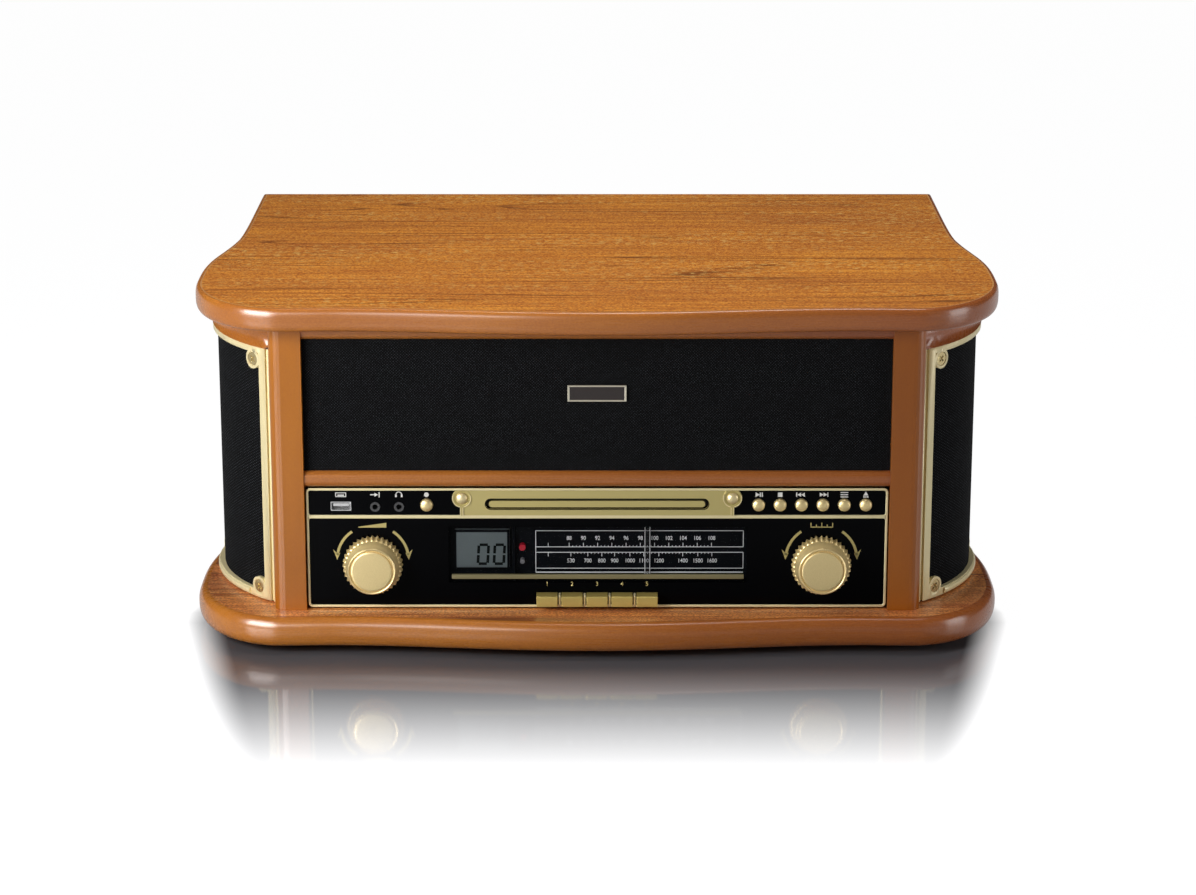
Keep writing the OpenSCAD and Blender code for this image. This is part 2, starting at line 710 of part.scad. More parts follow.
module tonearm() {
    tip_y = pivot_at[1] - arm_reach;
    color(steel) difference() {
        union() {
            rod_x([pivot_at[0] - 7.6, pivot_at[0] + 7.6], pivot_at[1], arm_z, 5);
            rod_y(pivot_at[0], [tip_y + 14, pivot_at[1] + 36], arm_z, arm_r);
        }
        rod_x([pivot_at[0] - 8, pivot_at[0] + 8], pivot_at[1], arm_z, 1.25);
    }
    color([0.12, 0.12, 0.12]) {
        difference() {
            rod_y(pivot_at[0], [pivot_at[1] + 14, pivot_at[1] + 33], arm_z, 10);
            rod_y(pivot_at[0], [pivot_at[1] + 13, pivot_at[1] + 34], arm_z, arm_r);
        }
        difference() {
            block([pivot_at[0] - 8, pivot_at[0] + 8], [tip_y - 8, tip_y + 26], [arm_z - 4, arm_z + 2]);
            rod_y(pivot_at[0], [tip_y + 14, tip_y + 27], arm_z, arm_r);
        }
        block([pivot_at[0] - 5.5, pivot_at[0] + 5.5], [tip_y - 5, tip_y + 12], [arm_z - 7.5, arm_z - 4]);
        rod_z(pivot_at[0], tip_y, [arm_z - 8.3, arm_z - 7.5], 0.6);
    }
}

module cue_lever() {
    color([0.12, 0.12, 0.12]) difference() {
        union() {
            rod_x([cue_at[0] - 3.6, cue_at[0] + 3.6], cue_at[1], cue_z, 3.4);
            block([cue_at[0] - 1.5, cue_at[0] + 1.5], [cue_at[1] - 24, cue_at[1]], [cue_z - 1.2, cue_z + 1.2]);
            block([cue_at[0] - 3.5, cue_at[0] + 3.5], [cue_at[1] - 30, cue_at[1] - 22], [cue_z - 1.5, cue_z + 2]);
        }
        rod_x([cue_at[0] - 4, cue_at[0] + 4], cue_at[1], cue_z, 1.25);
    }
}

module speed_lever() {
    color([0.12, 0.12, 0.12]) {
        block([speed_at[0] - 1.2, speed_at[0] + 1.2], [speed_at[1] - 2.5, speed_at[1] + 2.5],
              [deck_z - deck_t - 0.3, deck_z + 0.3]);
        block([speed_at[0] - 4, speed_at[0] + 4], [speed_at[1] - 4.5, speed_at[1] + 4.5],
              [deck_z + 0.3, deck_z + 2.3]);
        block([speed_at[0] - 4, speed_at[0] + 4], [speed_at[1] - 1.5, speed_at[1] + 1.5],
              [deck_z + 2.3, deck_z + 7]);
        block([speed_at[0] - 4, speed_at[0] + 4], [speed_at[1] - 4, speed_at[1] + 4],
              [deck_z - deck_t - 2.3, deck_z - deck_t - 0.3]);
    }
}

// Disc drawer

module disc_mechanism() {
    rail_in = 67.6;
    rail_out = 74;
    floor_z = 84;
    color([0.55, 0.56, 0.58]) {
        block([-rail_out, rail_out], [42, 192], [floor_z, floor_z + 3]);
        both_sides() {
            block([rail_in, rail_out], [42, 192], [floor_z + 3, 104]);
            block([62, rail_in], [42, 186], [floor_z + 3, slot_z - 2]);
        }
        block([-rail_out, rail_out], [186, 192], [floor_z + 3, 104]);
        block([-rail_out, rail_out], [96, 122], [104, 107]);
        rod_z(0, 109, [floor_z + 3, 93.4], 12);
        rod_z(0, 109, [100.5, 104], 14);
        for (x = [-64, 64]) for (y = [62, 176]) rod_z(x, y, [base_top, floor_z], 4);
    }
}

// Drawer with its front bar, disc well and centre opening
module disc_tray() {
    bar_r = tray_h / 2;
    color(gold) round_bar(tray_x, [fascia_y - 1.2, fascia_y + 3.5], slot_z, bar_r);
    color([0.10, 0.10, 0.11]) difference() {
        block([-66, 66], [fascia_y + 3.5, tray_back], [slot_z - 1.8, slot_z + 1.2]);
        rod_z(0, 109, [slot_z - 0.4, slot_z + 2], 61);
        rod_z(0, 109, [slot_z - 3, slot_z + 2], 20);
        block([-20, 20], [109, 172], [slot_z - 3, slot_z + 2]);
    }
}

// Tape slot

// Tape shell with its mouth in the side wall and the frame round that mouth
module cassette_mechanism() {
    shell_x = 168;
    color([0.10, 0.10, 0.11]) {
        difference() {
            block([shell_x, side_in], [tape_y[0] - 4, tape_y[1] + 4], [tape_z[0] - 4, tape_z[1] + 6]);
            block([shell_x + 3, side_in + 1], tape_y, [tape_z[0], tape_z[1] + 3]);
        }
        block([shell_x - 12, shell_x], [tape_y[0] + 10, tape_y[1] - 10], [tape_z[0] - 10, tape_z[1] + 2]);
        for (y = [tape_y[0] + 4, tape_y[1] - 4])
            rod_z(shell_x + 20, y, [base_top, tape_z[0] - 4], 4);
        difference() {
            block([side_out, side_out + 1.8], [tape_y[0] - 8, tape_y[1] + 8], [tape_z[0] - 12, tape_z[1] + 8]);
            block([side_out - 1, side_out + 3], tape_y, tape_z);
            block([side_out - 1, side_out + 3], tape_key_y, tape_key_z);
        }
    }
}

// Flap that a tape pushes in, with its hinge rod along the upper edge
module cassette_door() {
    color([0.16, 0.16, 0.17]) {
        block([side_out - 3, side_out - 1.4], [tape_y[0] + 0.5, tape_y[1] - 0.5], [tape_z[0] + 0.5, tape_z[1] - 1.4]);
        at(side_out - 2.2, tape_y[0] + 0.5, tape_z[1] - 1.6) rotate([-90, 0, 0])
            cylinder(h = tape_y[1] - tape_y[0] - 1, r = 1.1);
    }
}

// Push key under the tape slot, with the flange that stops it
module cassette_key() {
    color([0.16, 0.16, 0.17]) {
        block([side_in - 0.5, side_out + 5.4], [tape_key_y[0] + 0.3, tape_key_y[1] - 0.3],
              [tape_key_z[0] + 0.3, tape_key_z[1] - 0.3]);
        block([side_in - 2.5, side_in - 0.5], [tape_key_y[0] - 3, tape_key_y[1] + 3],
              [tape_key_z[0] + 0.3, tape_key_z[1] - 0.3]);
    }
}

// Electrics

// Main board with its parts, the boards behind the fascia, the knob controls and the key bank
module circuit_boards() {
    color(board_green) {
        block([-110, 60], [205, 325], [base_top + 8, base_top + 9.6]);
        block([-183, -98], [47.6, 49.2], [38, 104]);
        block([101, 183], [47.6, 49.2], [38, 104]);
        block([-94, -54.5], [fascia_back + 7, fascia_back + 8.6], [46, 83]);
    }
    color(steel) {
        for (x = [-104, 54]) for (y = [211, 319]) rod_z(x, y, [base_top, base_top + 8], 3);
        block([-30, 40], [290, 296], [base_top + 9.6, base_top + 44]);
        for (side = [-1, 1]) difference() {
            union() {
                rod_y(side * knob_x, [fascia_y + 0.4, 38], knob_z, 4.6);
                rod_y(side * knob_x, [38, 47.6], knob_z, 9);
            }
            rod_y(side * knob_x, [fascia_y, 45], knob_z, 3.05);
        }
    }
    color([0.10, 0.10, 0.12]) {
        for (x = [-90, -64]) rod_z(x, 285, [base_top + 9.6, base_top + 42], 11);
        for (x = [-20, 10]) block([x, x + 22], [232, 254], [base_top + 9.6, base_top + 12.4]);
        for (x = button_xs()) block([x - 3, x + 3], [42.4, 47.6], [strip_z - 3, strip_z + 3]);
        block([-44, 44], [47.4, 62], [base_top, key_z[1] + 2]);
    }
}

module power_transformer() {
    color([0.32, 0.33, 0.36]) difference() {
        block([-200, -140], [232, 284], [base_top, base_top + 50]);
        for (x = [-187, -165]) block([x, x + 12], [231, 285], [base_top + 12, base_top + 38]);
    }
    color([0.55, 0.22, 0.12]) block([-187, -153], [222, 294], [base_top + 12.2, base_top + 37.8]);
    color([0.32, 0.33, 0.36]) for (x = [-210, -140]) block([x, x + 10], [246, 270], [base_top, base_top + 2]);
}

// Recessed bay in the back with two line sockets and a two-pin mains inlet
module rear_sockets() {
    bay_y = back_in - 11.5;
    inlet_x = -36;
    inlet_z = 64;
    color([0.12, 0.12, 0.13]) {
        difference() {
            block([-114, -6], [bay_y, back_in], [42, 86]);
            block([-112, -8], [bay_y + 2, back_in + 1], [44, 84]);
        }
        difference() {
            block([inlet_x - 12, inlet_x + 12], [bay_y + 2, back_in], [inlet_z - 8, inlet_z + 8]);
            block([inlet_x - 3.5, inlet_x + 3.5], [bay_y + 3.5, back_in + 1], [inlet_z - 3.3, inlet_z + 3.3]);
            for (side = [-1, 1]) rod_y(inlet_x + side * 3.5, [bay_y + 3.5, back_in + 1], inlet_z, 3.3);
        }
    }
    color(steel) {
        for (side = [-1, 1]) rod_y(inlet_x + side * 4, [bay_y + 3.5, back_in - 2], inlet_z, 1.2);
        for (x = [-92, -72]) difference() {
            rod_y(x, [bay_y + 2, bay_y + 10.5], inlet_z, 4.15);
            rod_y(x, [bay_y + 3, bay_y + 11], inlet_z, 1.6);
        }
    }
}

// Lid

module hinge_lower_leaves() {
    third = hinge_w / 3;
    color(gold) for (x = hinge_xs) {
        block([x - hinge_w / 2, x + hinge_w / 2], [back_out, back_out + 1.2],
              [hinge_z - 22, hinge_z - knuckle_r - 0.4]);
        for (start = [x - hinge_w / 2, x + hinge_w / 2 - third + 0.3]) {
            rod_x([start, start + third - 0.3], hinge_y, hinge_z, knuckle_r);
            block([start, start + third - 0.3], [back_out, back_out + 1.2],
                  [hinge_z - knuckle_r - 0.4, hinge_z]);
        }
        rod_x([x - hinge_w / 2, x + hinge_w / 2], hinge_y, hinge_z, hinge_pin_r);
    }
    color(gold) {
        rod_x([stay_x0 - 0.2, side_in], stay_y, stay_z, 2.5);
        rod_x([stay_x1 + 0.2, side_in], stay_y, stay_z, 5);
        rod_x([stay_x0 - 1.8, stay_x0 - 0.2], stay_y, stay_z, 4);
    }
}

module lid_board() {
    color(honey) difference() {
        serpentine_board(lid_w / 2, lid_back, lid_under, lid_t, lid_edge);
        block([-side_in + 1, side_in - 1], [42, depth - 12], [lid_under - 1, lid_under + lid_hollow]);
        for (x = hinge_xs) rod_x([x - hinge_w / 2 - 1, x + hinge_w / 2 + 1], hinge_y, hinge_z, knuckle_r + 0.4);
    }
}

// Upper hinge leaves and the slotted channel that the stay arm's pin runs in
module lid_hardware() {
    third = hinge_w / 3;
    roof_z = lid_under + lid_hollow;
    channel_ys = [stay_end_y - 10, hinge_y - stay_near + 10];
    slot_half = stay_pin_r + 0.6;
    color(gold) {
        for (x = hinge_xs) difference() {
            union() {
                rod_x([x - third / 2, x + third / 2], hinge_y, hinge_z, knuckle_r);
                block([x - third / 2, x + third / 2], [lid_back, lid_back + 1.2], [hinge_z, hinge_z + 3.2]);
                block([x - hinge_w / 2, x + hinge_w / 2], [lid_back, lid_back + 1.2],
                      [hinge_z + 3.2, height - 2.2]);
            }
            rod_x([x - third, x + third], hinge_y, hinge_z, hinge_pin_r + 0.05);
        }
        difference() {
            block(channel_x, channel_ys, [hinge_z - 5.5, roof_z]);
            block([channel_x[0] - 1, channel_x[1] + 1], [stay_end_y, hinge_y - stay_near],
                  [hinge_z - slot_half, hinge_z + slot_half]);
            for (y = [stay_end_y, hinge_y - stay_near])
                rod_x([channel_x[0] - 1, channel_x[1] + 1], y, hinge_z, slot_half);
        }
        block([channel_x[0] - 11, channel_x[0]], channel_ys, [roof_z - 1.5, roof_z]);
    }
}

module stay_arm() {
    color(gold) difference() {
        union() {
            at(stay_x0, stay_y, stay_z) rotate([-stay_slope, 0, 0])
                translate([0, -stay_len, -4.5]) cube([stay_x1 - stay_x0, stay_len, 9]);
            rod_x([stay_x0, stay_x1], stay_y, stay_z, 5);
            rod_x([stay_x0, stay_x1], stay_end_y, hinge_z, 4.5);
            rod_x([channel_x[0] - 2, stay_x1], stay_end_y, hinge_z, stay_pin_r);
        }
        rod_x([stay_x0 - 1, stay_x1 + 1], stay_y, stay_z, 2.56);
    }
}

// Knobs, pointer, keys and buttons

// Knob with a ridged skirt, a smooth shoulder and a rimmed face
module big_knob(x) {
    face = 16.5;
    skirt = 7;
    star = [for (i = [0 : 2 * knob_ridges - 1])
        let (a = 180 * i / knob_ridges, r = i % 2 == 0 ? knob_r : knob_r - 1.4) [r * cos(a), r * sin(a)]];
    color(gold) {
        at(x, fascia_y - 0.5, knob_z) rotate([90, 0, 0]) intersection() {
            linear_extrude(skirt) polygon(star);
            cylinder(h = skirt, r1 = knob_r - 0.15, r2 = knob_r - 1.5);
        }
        turned_front(x, knob_z, [
            [0, 0.6], [17.4, 0.6], [17.4, skirt], [16.2, face - 3.4], [15.7, face - 1.4],
            [15.3, face - 0.5], [14.7, face - 0.2], [14.1, face - 0.6], [14, face - 1.3],
            [13.3, face - 1.3], [13.2, face - 0.4], [12.7, face], [0, face]
        ]);
        rod_y(x, [fascia_y - 1, 44.5], knob_z, 3);
    }
}

module volume_knob() {
    big_knob(-knob_x);
}

module tuning_knob() {
    big_knob(knob_x);
}

// Clear double-line pointer on its carriage
module dial_pointer() {
    color([0.80, 0.84, 0.86, 0.5]) difference() {
        union() {
            block([30.3, 34.9], [fascia_back + 0.4, fascia_back + 1.6], [43.4, 79.6]);
            block([28.6, 36.6], [fascia_back + 0.4, plate_y - 0.3], [38.6, 43.4]);
        }
        rod_x([27, 37], 37.8, 40.4, 0.85);
    }
}

// Key with a bevelled upper edge, its flange and its stem
module function_key(i) {
    x = i * key_pitch;
    color(gold) {
        at(x - key_w / 2, 0, 0) rotate([90, 0, 90]) linear_extrude(key_w) polygon([
            [key_front, key_z[0]], [key_front, key_z[1] - 0.6], [key_front + 0.6, key_z[1]],
            [fascia_back + 0.3, key_z[1]], [fascia_back + 0.3, key_z[0]]
        ]);
        block([x - 7.7, x + 7.7], [fascia_back + 0.3, fascia_back + 1.3], [key_z[0] - 1.4, key_z[1] + 1.4]);
        block([x - 3, x + 3], [fascia_back + 1.3, 43], [key_z[0] + 1, key_z[1] - 1]);
    }
}

module tuner_key() {
    function_key(-2);
}

module disc_key() {
    function_key(-1);
}

module tape_key() {
    function_key(0);
}

module phono_key() {
    function_key(1);
}

module equaliser_key() {
    function_key(2);
}

// Domed round button with the flange that keeps it in the fascia
module round_button(i) {
    color(gold) turned_front(button_xs()[i], strip_z, concat(
        [[0, -8.2], [2, -8.2], [2, -4.3], [button_r + 1.2, -4.3], [button_r + 1.2, -3.3], [button_r, -3.3]],
        [for (a = [0 : 15 : 90]) [button_r * cos(a), 1.8 + 1.8 * sin(a)]]
    ));
}

module record_button() {
    round_button(0);
}

module play_button() {
    round_button(1);
}

module stop_button() {
    round_button(2);
}

module back_button() {
    round_button(3);
}

module forward_button() {
    round_button(4);
}

module program_button() {
    round_button(5);
}

module eject_button() {
    round_button(6);
}

base_board();
rubber_feet();
side_panel_left();
side_panel_right();
back_panel();
front_pillars();
corner_housings();
front_rails();
front_grille();
badge_plate();
corner_grilles();
corner_bezels();
bezel_screws();
speaker_frames();
speaker_cones();
fascia_panel();
fascia_trim();
disc_surround();
lcd_display();
dial_backplate();
dial_window();
indicator_lamps();
front_sockets();
turntable_deck();
arm_base();
belt_drive();
disc_mechanism();
cassette_mechanism();
circuit_boards();
power_transformer();
rear_sockets();
hinge_lower_leaves();
lid_board();
lid_hardware();
stay_arm();
platter();
platter_mat();
motor_pulley();
arm_gimbal();
tonearm();
cue_lever();
speed_lever();
disc_tray();
volume_knob();
tuning_knob();
dial_pointer();
tuner_key();
disc_key();
tape_key();
phono_key();
equaliser_key();
record_button();
play_button();
stop_button();
back_button();
forward_button();
program_button();
eject_button();
cassette_door();
cassette_key();
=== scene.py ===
"""Stereo music centre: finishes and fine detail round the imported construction, in metres, front along -Y."""

import json
import math

import bmesh
import bpy
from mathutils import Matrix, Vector

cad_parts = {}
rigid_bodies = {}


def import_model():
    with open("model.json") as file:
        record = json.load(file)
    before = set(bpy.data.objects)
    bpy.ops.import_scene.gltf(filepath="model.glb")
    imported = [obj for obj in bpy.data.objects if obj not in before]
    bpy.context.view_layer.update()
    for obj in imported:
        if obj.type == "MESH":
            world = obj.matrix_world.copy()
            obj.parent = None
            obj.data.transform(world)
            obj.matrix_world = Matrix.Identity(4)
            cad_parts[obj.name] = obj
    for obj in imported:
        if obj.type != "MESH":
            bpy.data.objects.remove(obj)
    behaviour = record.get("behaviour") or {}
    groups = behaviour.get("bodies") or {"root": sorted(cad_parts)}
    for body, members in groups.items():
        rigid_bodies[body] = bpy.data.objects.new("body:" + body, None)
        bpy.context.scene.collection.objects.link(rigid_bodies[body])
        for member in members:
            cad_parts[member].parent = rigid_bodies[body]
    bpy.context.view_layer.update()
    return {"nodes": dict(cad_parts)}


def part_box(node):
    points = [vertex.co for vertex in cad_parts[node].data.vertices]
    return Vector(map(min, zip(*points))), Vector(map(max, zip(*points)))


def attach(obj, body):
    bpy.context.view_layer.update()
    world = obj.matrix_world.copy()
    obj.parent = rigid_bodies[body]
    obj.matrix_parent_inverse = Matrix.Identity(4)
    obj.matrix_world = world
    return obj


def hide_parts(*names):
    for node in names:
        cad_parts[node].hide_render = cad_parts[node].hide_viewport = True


for leftover in list(bpy.data.objects):
    bpy.data.objects.remove(leftover)
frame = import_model()
nodes = frame["nodes"]

MM = 0.001
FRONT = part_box("base_board")[0].y


def at(x, y, z):
    """Point given in millimetres: across, behind the front edge, above the table."""
    return Vector((x * MM, FRONT + y * MM, z * MM))


def span(node):
    """Lowest and highest corner of a construction piece, in the millimetres that at() takes."""
    return tuple((corner - Vector((0.0, FRONT, 0.0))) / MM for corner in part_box(node))


LID_LOW, LID_HIGH = span("lid_board")
BASE_LOW, BASE_HIGH = span("base_board")
FASCIA_Y = span("fascia_panel")[0].y
PLATE_Y = span("dial_backplate")[1].y - 1.5

# Camera

CAMERA_PLACE = (0.0006, -2.2445, 0.7603)
DEGREES_DOWN = 16.59
LENS = 102.969

camera = bpy.data.objects.new("camera", bpy.data.cameras.new("camera"))
bpy.context.collection.objects.link(camera)
camera.data.sensor_fit = "HORIZONTAL"
camera.data.sensor_width = 36.0
camera.data.lens = LENS
camera.data.clip_end = 50.0
camera.location = CAMERA_PLACE
camera.rotation_euler = (math.radians(90.0 - DEGREES_DOWN), 0.0, 0.0)
bpy.context.scene.camera = camera
bpy.context.scene.view_settings.view_transform = "Standard"


# Materials

finishes = {}


class Finish:
    """Procedural material, kept in finishes by its name, with short ways to add and join its nodes."""

    def __init__(self, name, **values):
        self.material = bpy.data.materials.new(name)
        self.material.use_nodes = True
        self.tree = self.material.node_tree
        self.shader = self.tree.nodes["Principled BSDF"]
        self.put(**values)
        finishes[name] = self

    def put(self, **values):
        """Sets or joins the shader's inputs; an underscore stands for a blank."""
        for key, value in values.items():
            self.feed(self.shader.inputs[key.replace("_", " ")], value)

    def feed(self, socket, value):
        """Joins a socket to another one, or gives it a value."""
        if isinstance(value, bpy.types.NodeSocket):
            self.tree.links.new(value, socket)
        else:
            socket.default_value = value

    def add(self, kind, inputs, output=0, **settings):
        """Adds a node and returns one of its outputs."""
        node = self.tree.nodes.new("ShaderNode" + kind)
        for key, value in settings.items():
            setattr(node, key, value)
        for key, value in inputs.items():
            self.feed(node.inputs[key], value)
        return node.outputs[output]

    def place(self):
        """Place on the object at rest, in metres."""
        return self.add("TexCoord", {}, output="Object")

    def parts(self):
        """The three coordinates of a place, each on its own."""
        node = self.tree.nodes.new("ShaderNodeSeparateXYZ")
        self.feed(node.inputs["Vector"], self.place())
        return node.outputs

    def speckle(self, size, detail=2.0, rough=0.5):
        """Noise with grains of a size in millimetres."""
        return self.add("TexNoise", {"Vector": self.place(), "Scale": 1.0 / (size * MM),
                                     "Detail": detail, "Roughness": rough})

    def calc(self, operation, a, b=0.0):
        """One step of arithmetic on one value or two."""
        return self.add("Math", {0: a, 1: b}, operation=operation)

    def product(self, first, *others):
        """Several values multiplied."""
        for other in others:
            first = self.calc("MULTIPLY", first, other)
        return first

    def beyond(self, value, limit):
        """How far a value is past a limit, and nothing where it isn't."""
        return self.calc("MAXIMUM", self.calc("SUBTRACT", value, limit), 0.0)

    def shade(self, colour, factor, a, b):
        """Multiplies a colour by a blend of two others."""
        return self.add("VectorMath", {0: colour, 1: self.mix(factor, a, b)}, operation="MULTIPLY")

    def grade(self, value, low, high, to_low=0.0, to_high=1.0):
        """Carries a value from one range to another and keeps it inside."""
        return self.add("MapRange", {"Value": value, "From Min": low, "From Max": high,
                                     "To Min": to_low, "To Max": to_high})

    def mix(self, factor, a, b):
        """Blends two colours, each a socket or three numbers."""
        node = self.tree.nodes.new("ShaderNodeMix")
        node.data_type = "RGBA"
        self.feed(node.inputs["Factor"], factor)
        for socket, colour in ((node.inputs[6], a), (node.inputs[7], b)):
            self.feed(socket, colour if isinstance(colour, bpy.types.NodeSocket) else (*colour, 1.0))
        return node.outputs[2]

    def bump(self, height, strength, distance):
        """Surface relief from a height, as deep as a distance in millimetres."""
        return self.add("Bump", {"Height": height, "Strength": strength, "Distance": distance * MM})


def tint(tone, *factors):
    """A colour with each part multiplied."""
    return tuple(value * factor for value, factor in zip(tone, factors))


def wood(name, along, tone, roughness, grain, flecks=0.0, streaks=0.0, seed=0.0, coat=0.5, painted_right_shade=0.0):
    """Stained, lacquered wood with its grain along an axis.

    grain, flecks and streaks say how strongly these marks show, seed moves them, coat is the lacquer,
    and the last one says how strongly painted shade makes the wood redder and darker towards the right.
    """
    finish = Finish(name, Coat_Weight=coat, Coat_Roughness=0.2)
    finish.shader.inputs["Specular IOR Level"].default_value = 0.35
    order = {"x": (0, 1, 2), "y": (1, 2, 0), "z": (2, 0, 1)}[along]

    def field(length, width, detail, rough=0.5, warp=0.0):
        """Noise drawn out along the grain, with its length and width in millimetres."""
        scale = [0.0, 0.0, 0.0]
        for axis, size in zip(order, (length, width, width)):
            scale[axis] = 1.0 / (size * MM)
        vector = finish.add("Mapping", {"Vector": finish.place(), "Scale": scale,
                                        "Location": (seed, seed * 2.0, seed * 3.0)})
        return finish.add("TexNoise", {"Vector": vector, "Scale": 1.0, "Detail": detail,
                                       "Roughness": rough, "Distortion": warp})

    dark = tint(tone, 0.42, 0.28, 0.26)
    pale = tuple(value + 0.1 for value in tint(tone, 1.3, 1.7, 1.8))
    fibre = field(110.0, 3.0, 4.0, 0.7)
    speck = field(1.5, 0.9, 1.0, 0.6)
    colour = finish.mix(finish.grade(field(210.0, 42.0, 3.0), 0.35, 0.65), tint(tone, 0.9, 0.87, 0.95),
                        tint(tone, 1.08, 1.11, 1.0))
    for marks, low, high, strength in ((fibre, 0.34, 0.64, grain * 0.65), (speck, 0.35, 0.65, grain * 0.85)):
        deep, bright = 1.0 - 0.4 * strength, 1.0 + 0.45 * strength
        colour = finish.shade(colour, finish.grade(marks, low, high), (bright, bright, bright),
                              (deep, deep * deep, deep * deep))
    # Painted shade: redder and darker towards the right, standing in for the weaker light there.
    if painted_right_shade:
        side = finish.product(finish.grade(finish.parts()["X"], -80.0 * MM, 200.0 * MM), painted_right_shade)
        colour = finish.shade(colour, side, (1.0, 1.0, 1.0), (0.66, 0.54, 0.85))
    if streaks:
        patch = finish.grade(field(420.0, 34.0, 1.0), 0.42, 0.54)
        rings = finish.product(field(760.0, 46.0, 2.0, 0.35, 0.25), 13.0)
        line = finish.grade(finish.calc("PINGPONG", rings, 0.5), 0.13, 0.02)
        broken = finish.grade(field(190.0, 5.0, 3.0), 0.36, 0.55)
        colour = finish.mix(finish.product(line, patch, broken, streaks), colour, dark)
    if flecks:
        fleck = finish.grade(field(6.0, 2.2, 2.0, 0.6), 0.54, 0.64)
        where = finish.grade(field(260.0, 30.0, 2.0), 0.42, 0.62, 0.2, 1.0)
        colour = finish.mix(finish.product(fleck, where, flecks), colour, pale)
    finish.put(Base_Color=colour)
    finish.put(Roughness=finish.grade(fibre, 0.3, 0.7, roughness - 0.03, roughness + 0.05))
    height = finish.calc("SUBTRACT", fibre, finish.product(speck, 0.4))
    finish.put(Normal=finish.bump(height, 0.02 + 0.08 * grain, 0.4))


def satin_gold(name, tone, roughness=0.34, metal=0.35):
    """Pale gold paint with a fine metallic speckle."""
    finish = Finish(name, Metallic=metal)
    speck = finish.speckle(0.4, 1.0)
    finish.put(Base_Color=finish.mix(finish.grade(speck, 0.3, 0.7), tint(tone, 0.9, 0.89, 0.86), tone))
    finish.put(Roughness=finish.grade(finish.speckle(25.0), 0.3, 0.7, roughness - 0.03, roughness + 0.05))
    finish.put(Normal=finish.bump(speck, 0.04, 0.1))
    return finish


def moulded(name, tone, roughness, grain=0.12, size=0.8, metal=0.0):
    """Moulded plastic, rubber or painted metal with a fine skin; size is the grain in millimetres."""
    finish = Finish(name, Metallic=metal)
    skin = finish.speckle(size, 2.0, 0.6)
    cloud = finish.grade(finish.speckle(33.0, 3.0), 0.3, 0.7)
    finish.put(Base_Color=finish.mix(cloud, tint(tone, 0.8, 0.8, 0.8), tone))
    finish.put(Roughness=finish.grade(skin, 0.3, 0.7, roughness - 0.05, roughness + 0.05))
    finish.put(Normal=finish.bump(skin, grain, 0.2))
    return finish


THREAD = 1.9
CORNER_MIDDLE = (142.5, 131.0)
CORNER_STRETCH = 1.8


def cloth(name):
    """Black loudspeaker cloth with a diagonal thread that runs with the surface.

    It is flat in front. Round a corner's middle it is stretched, and follows the turn.
    """
    finish = Finish(name, Roughness=0.8)
    finish.shader.inputs["Specular IOR Level"].default_value = 0.06
    corner_x, corner_y = CORNER_MIDDLE
    radius = span("corner_grilles")[1].x - corner_x
    x, y, z = finish.parts()
    side = finish.calc("SUBTRACT", finish.calc("ABSOLUTE", x), corner_x * MM)
    turn = finish.calc("ARCTAN2", finish.calc("SUBTRACT", y, FRONT + corner_y * MM), side)
    on_corner = finish.calc("GREATER_THAN", side, 50.0 * MM)
    round_corner = finish.product(turn, radius * MM / CORNER_STRETCH)
    across = finish.add("Mix", {0: on_corner, 2: x, 3: round_corner})
    pitch = 2.0 * math.pi / (THREAD * MM)
    warp = finish.calc("SINE", finish.product(finish.calc("ADD", across, z), pitch))
    weft = finish.calc("SINE", finish.product(finish.calc("SUBTRACT", across, z), pitch))
    thread = finish.product(finish.calc("ADD", warp, weft), 0.25)
    fleck = finish.speckle(0.9, 2.0, 0.7)
    height = finish.calc("ADD", thread, fleck)
    cloud = finish.grade(finish.speckle(7.0, 3.0, 0.6), 0.3, 0.7, 0.75, 1.25)
    value = finish.product(finish.grade(height, 0.68, 1.0), cloud)
    finish.put(Base_Color=finish.mix(value, (0.0002, 0.0002, 0.0004), (0.038, 0.042, 0.048)))
    finish.put(Normal=finish.bump(height, 0.5, 0.5))


def gloss_black(name, tone, roughness):
    """Glossy black moulding with the faintest unevenness."""
    finish = Finish(name, Base_Color=(*tone, 1.0))
    finish.shader.inputs["Specular IOR Level"].default_value = 0.04
    finish.put(Roughness=finish.grade(finish.speckle(40.0), 0.3, 0.7, roughness, roughness + 0.04))


def two_tone(finish, inside, tone_a, tone_b, metals, roughness):
    """Splits a finish in two; inside gives 0 where the first tone shows and 1 for the second."""
    side = inside(finish)
    finish.put(Base_Color=finish.mix(side, tone_a, tone_b))
    finish.put(Metallic=finish.grade(side, 0.0, 1.0, *metals))
    finish.put(Roughness=finish.grade(side, 0.0, 1.0, *roughness))


def past(axis, place):
    """Tells where X, Y or Z is past a place, which is given in the millimetres that at() takes."""
    limit = (place * MM + FRONT) if axis == "Y" else place * MM
    return lambda finish: finish.calc("GREATER_THAN", finish.parts()[axis], limit)


def on_ledge(finish):
    """Tells where the gold frame is the ledge under the display and dial, with room round it."""
    half_width, low, high = 100.0, 40.0, 80.0
    place = finish.parts()
    middle = finish.calc("LESS_THAN", finish.calc("ABSOLUTE", place["X"]), half_width * MM)
    above = finish.calc("GREATER_THAN", place["Z"], low * MM)
    below = finish.calc("LESS_THAN", place["Z"], high * MM)
    return finish.product(middle, above, below)


def arm_black(finish):
    """Headshell in front and weight behind the pivot, the rest of the pickup arm being bright."""
    shell_length, weight_length, tail_length = 34.0, 22.5, 2.5
    low, high = span("tonearm")
    y = finish.parts()["Y"]
    shell = finish.calc("LESS_THAN", y, FRONT + (low.y + shell_length) * MM)
    weight = finish.calc("GREATER_THAN", y, FRONT + (high.y - weight_length) * MM)
    tail = finish.calc("LESS_THAN", y, FRONT + (high.y - tail_length) * MM)
    return finish.calc("MAXIMUM", shell, finish.product(weight, tail))


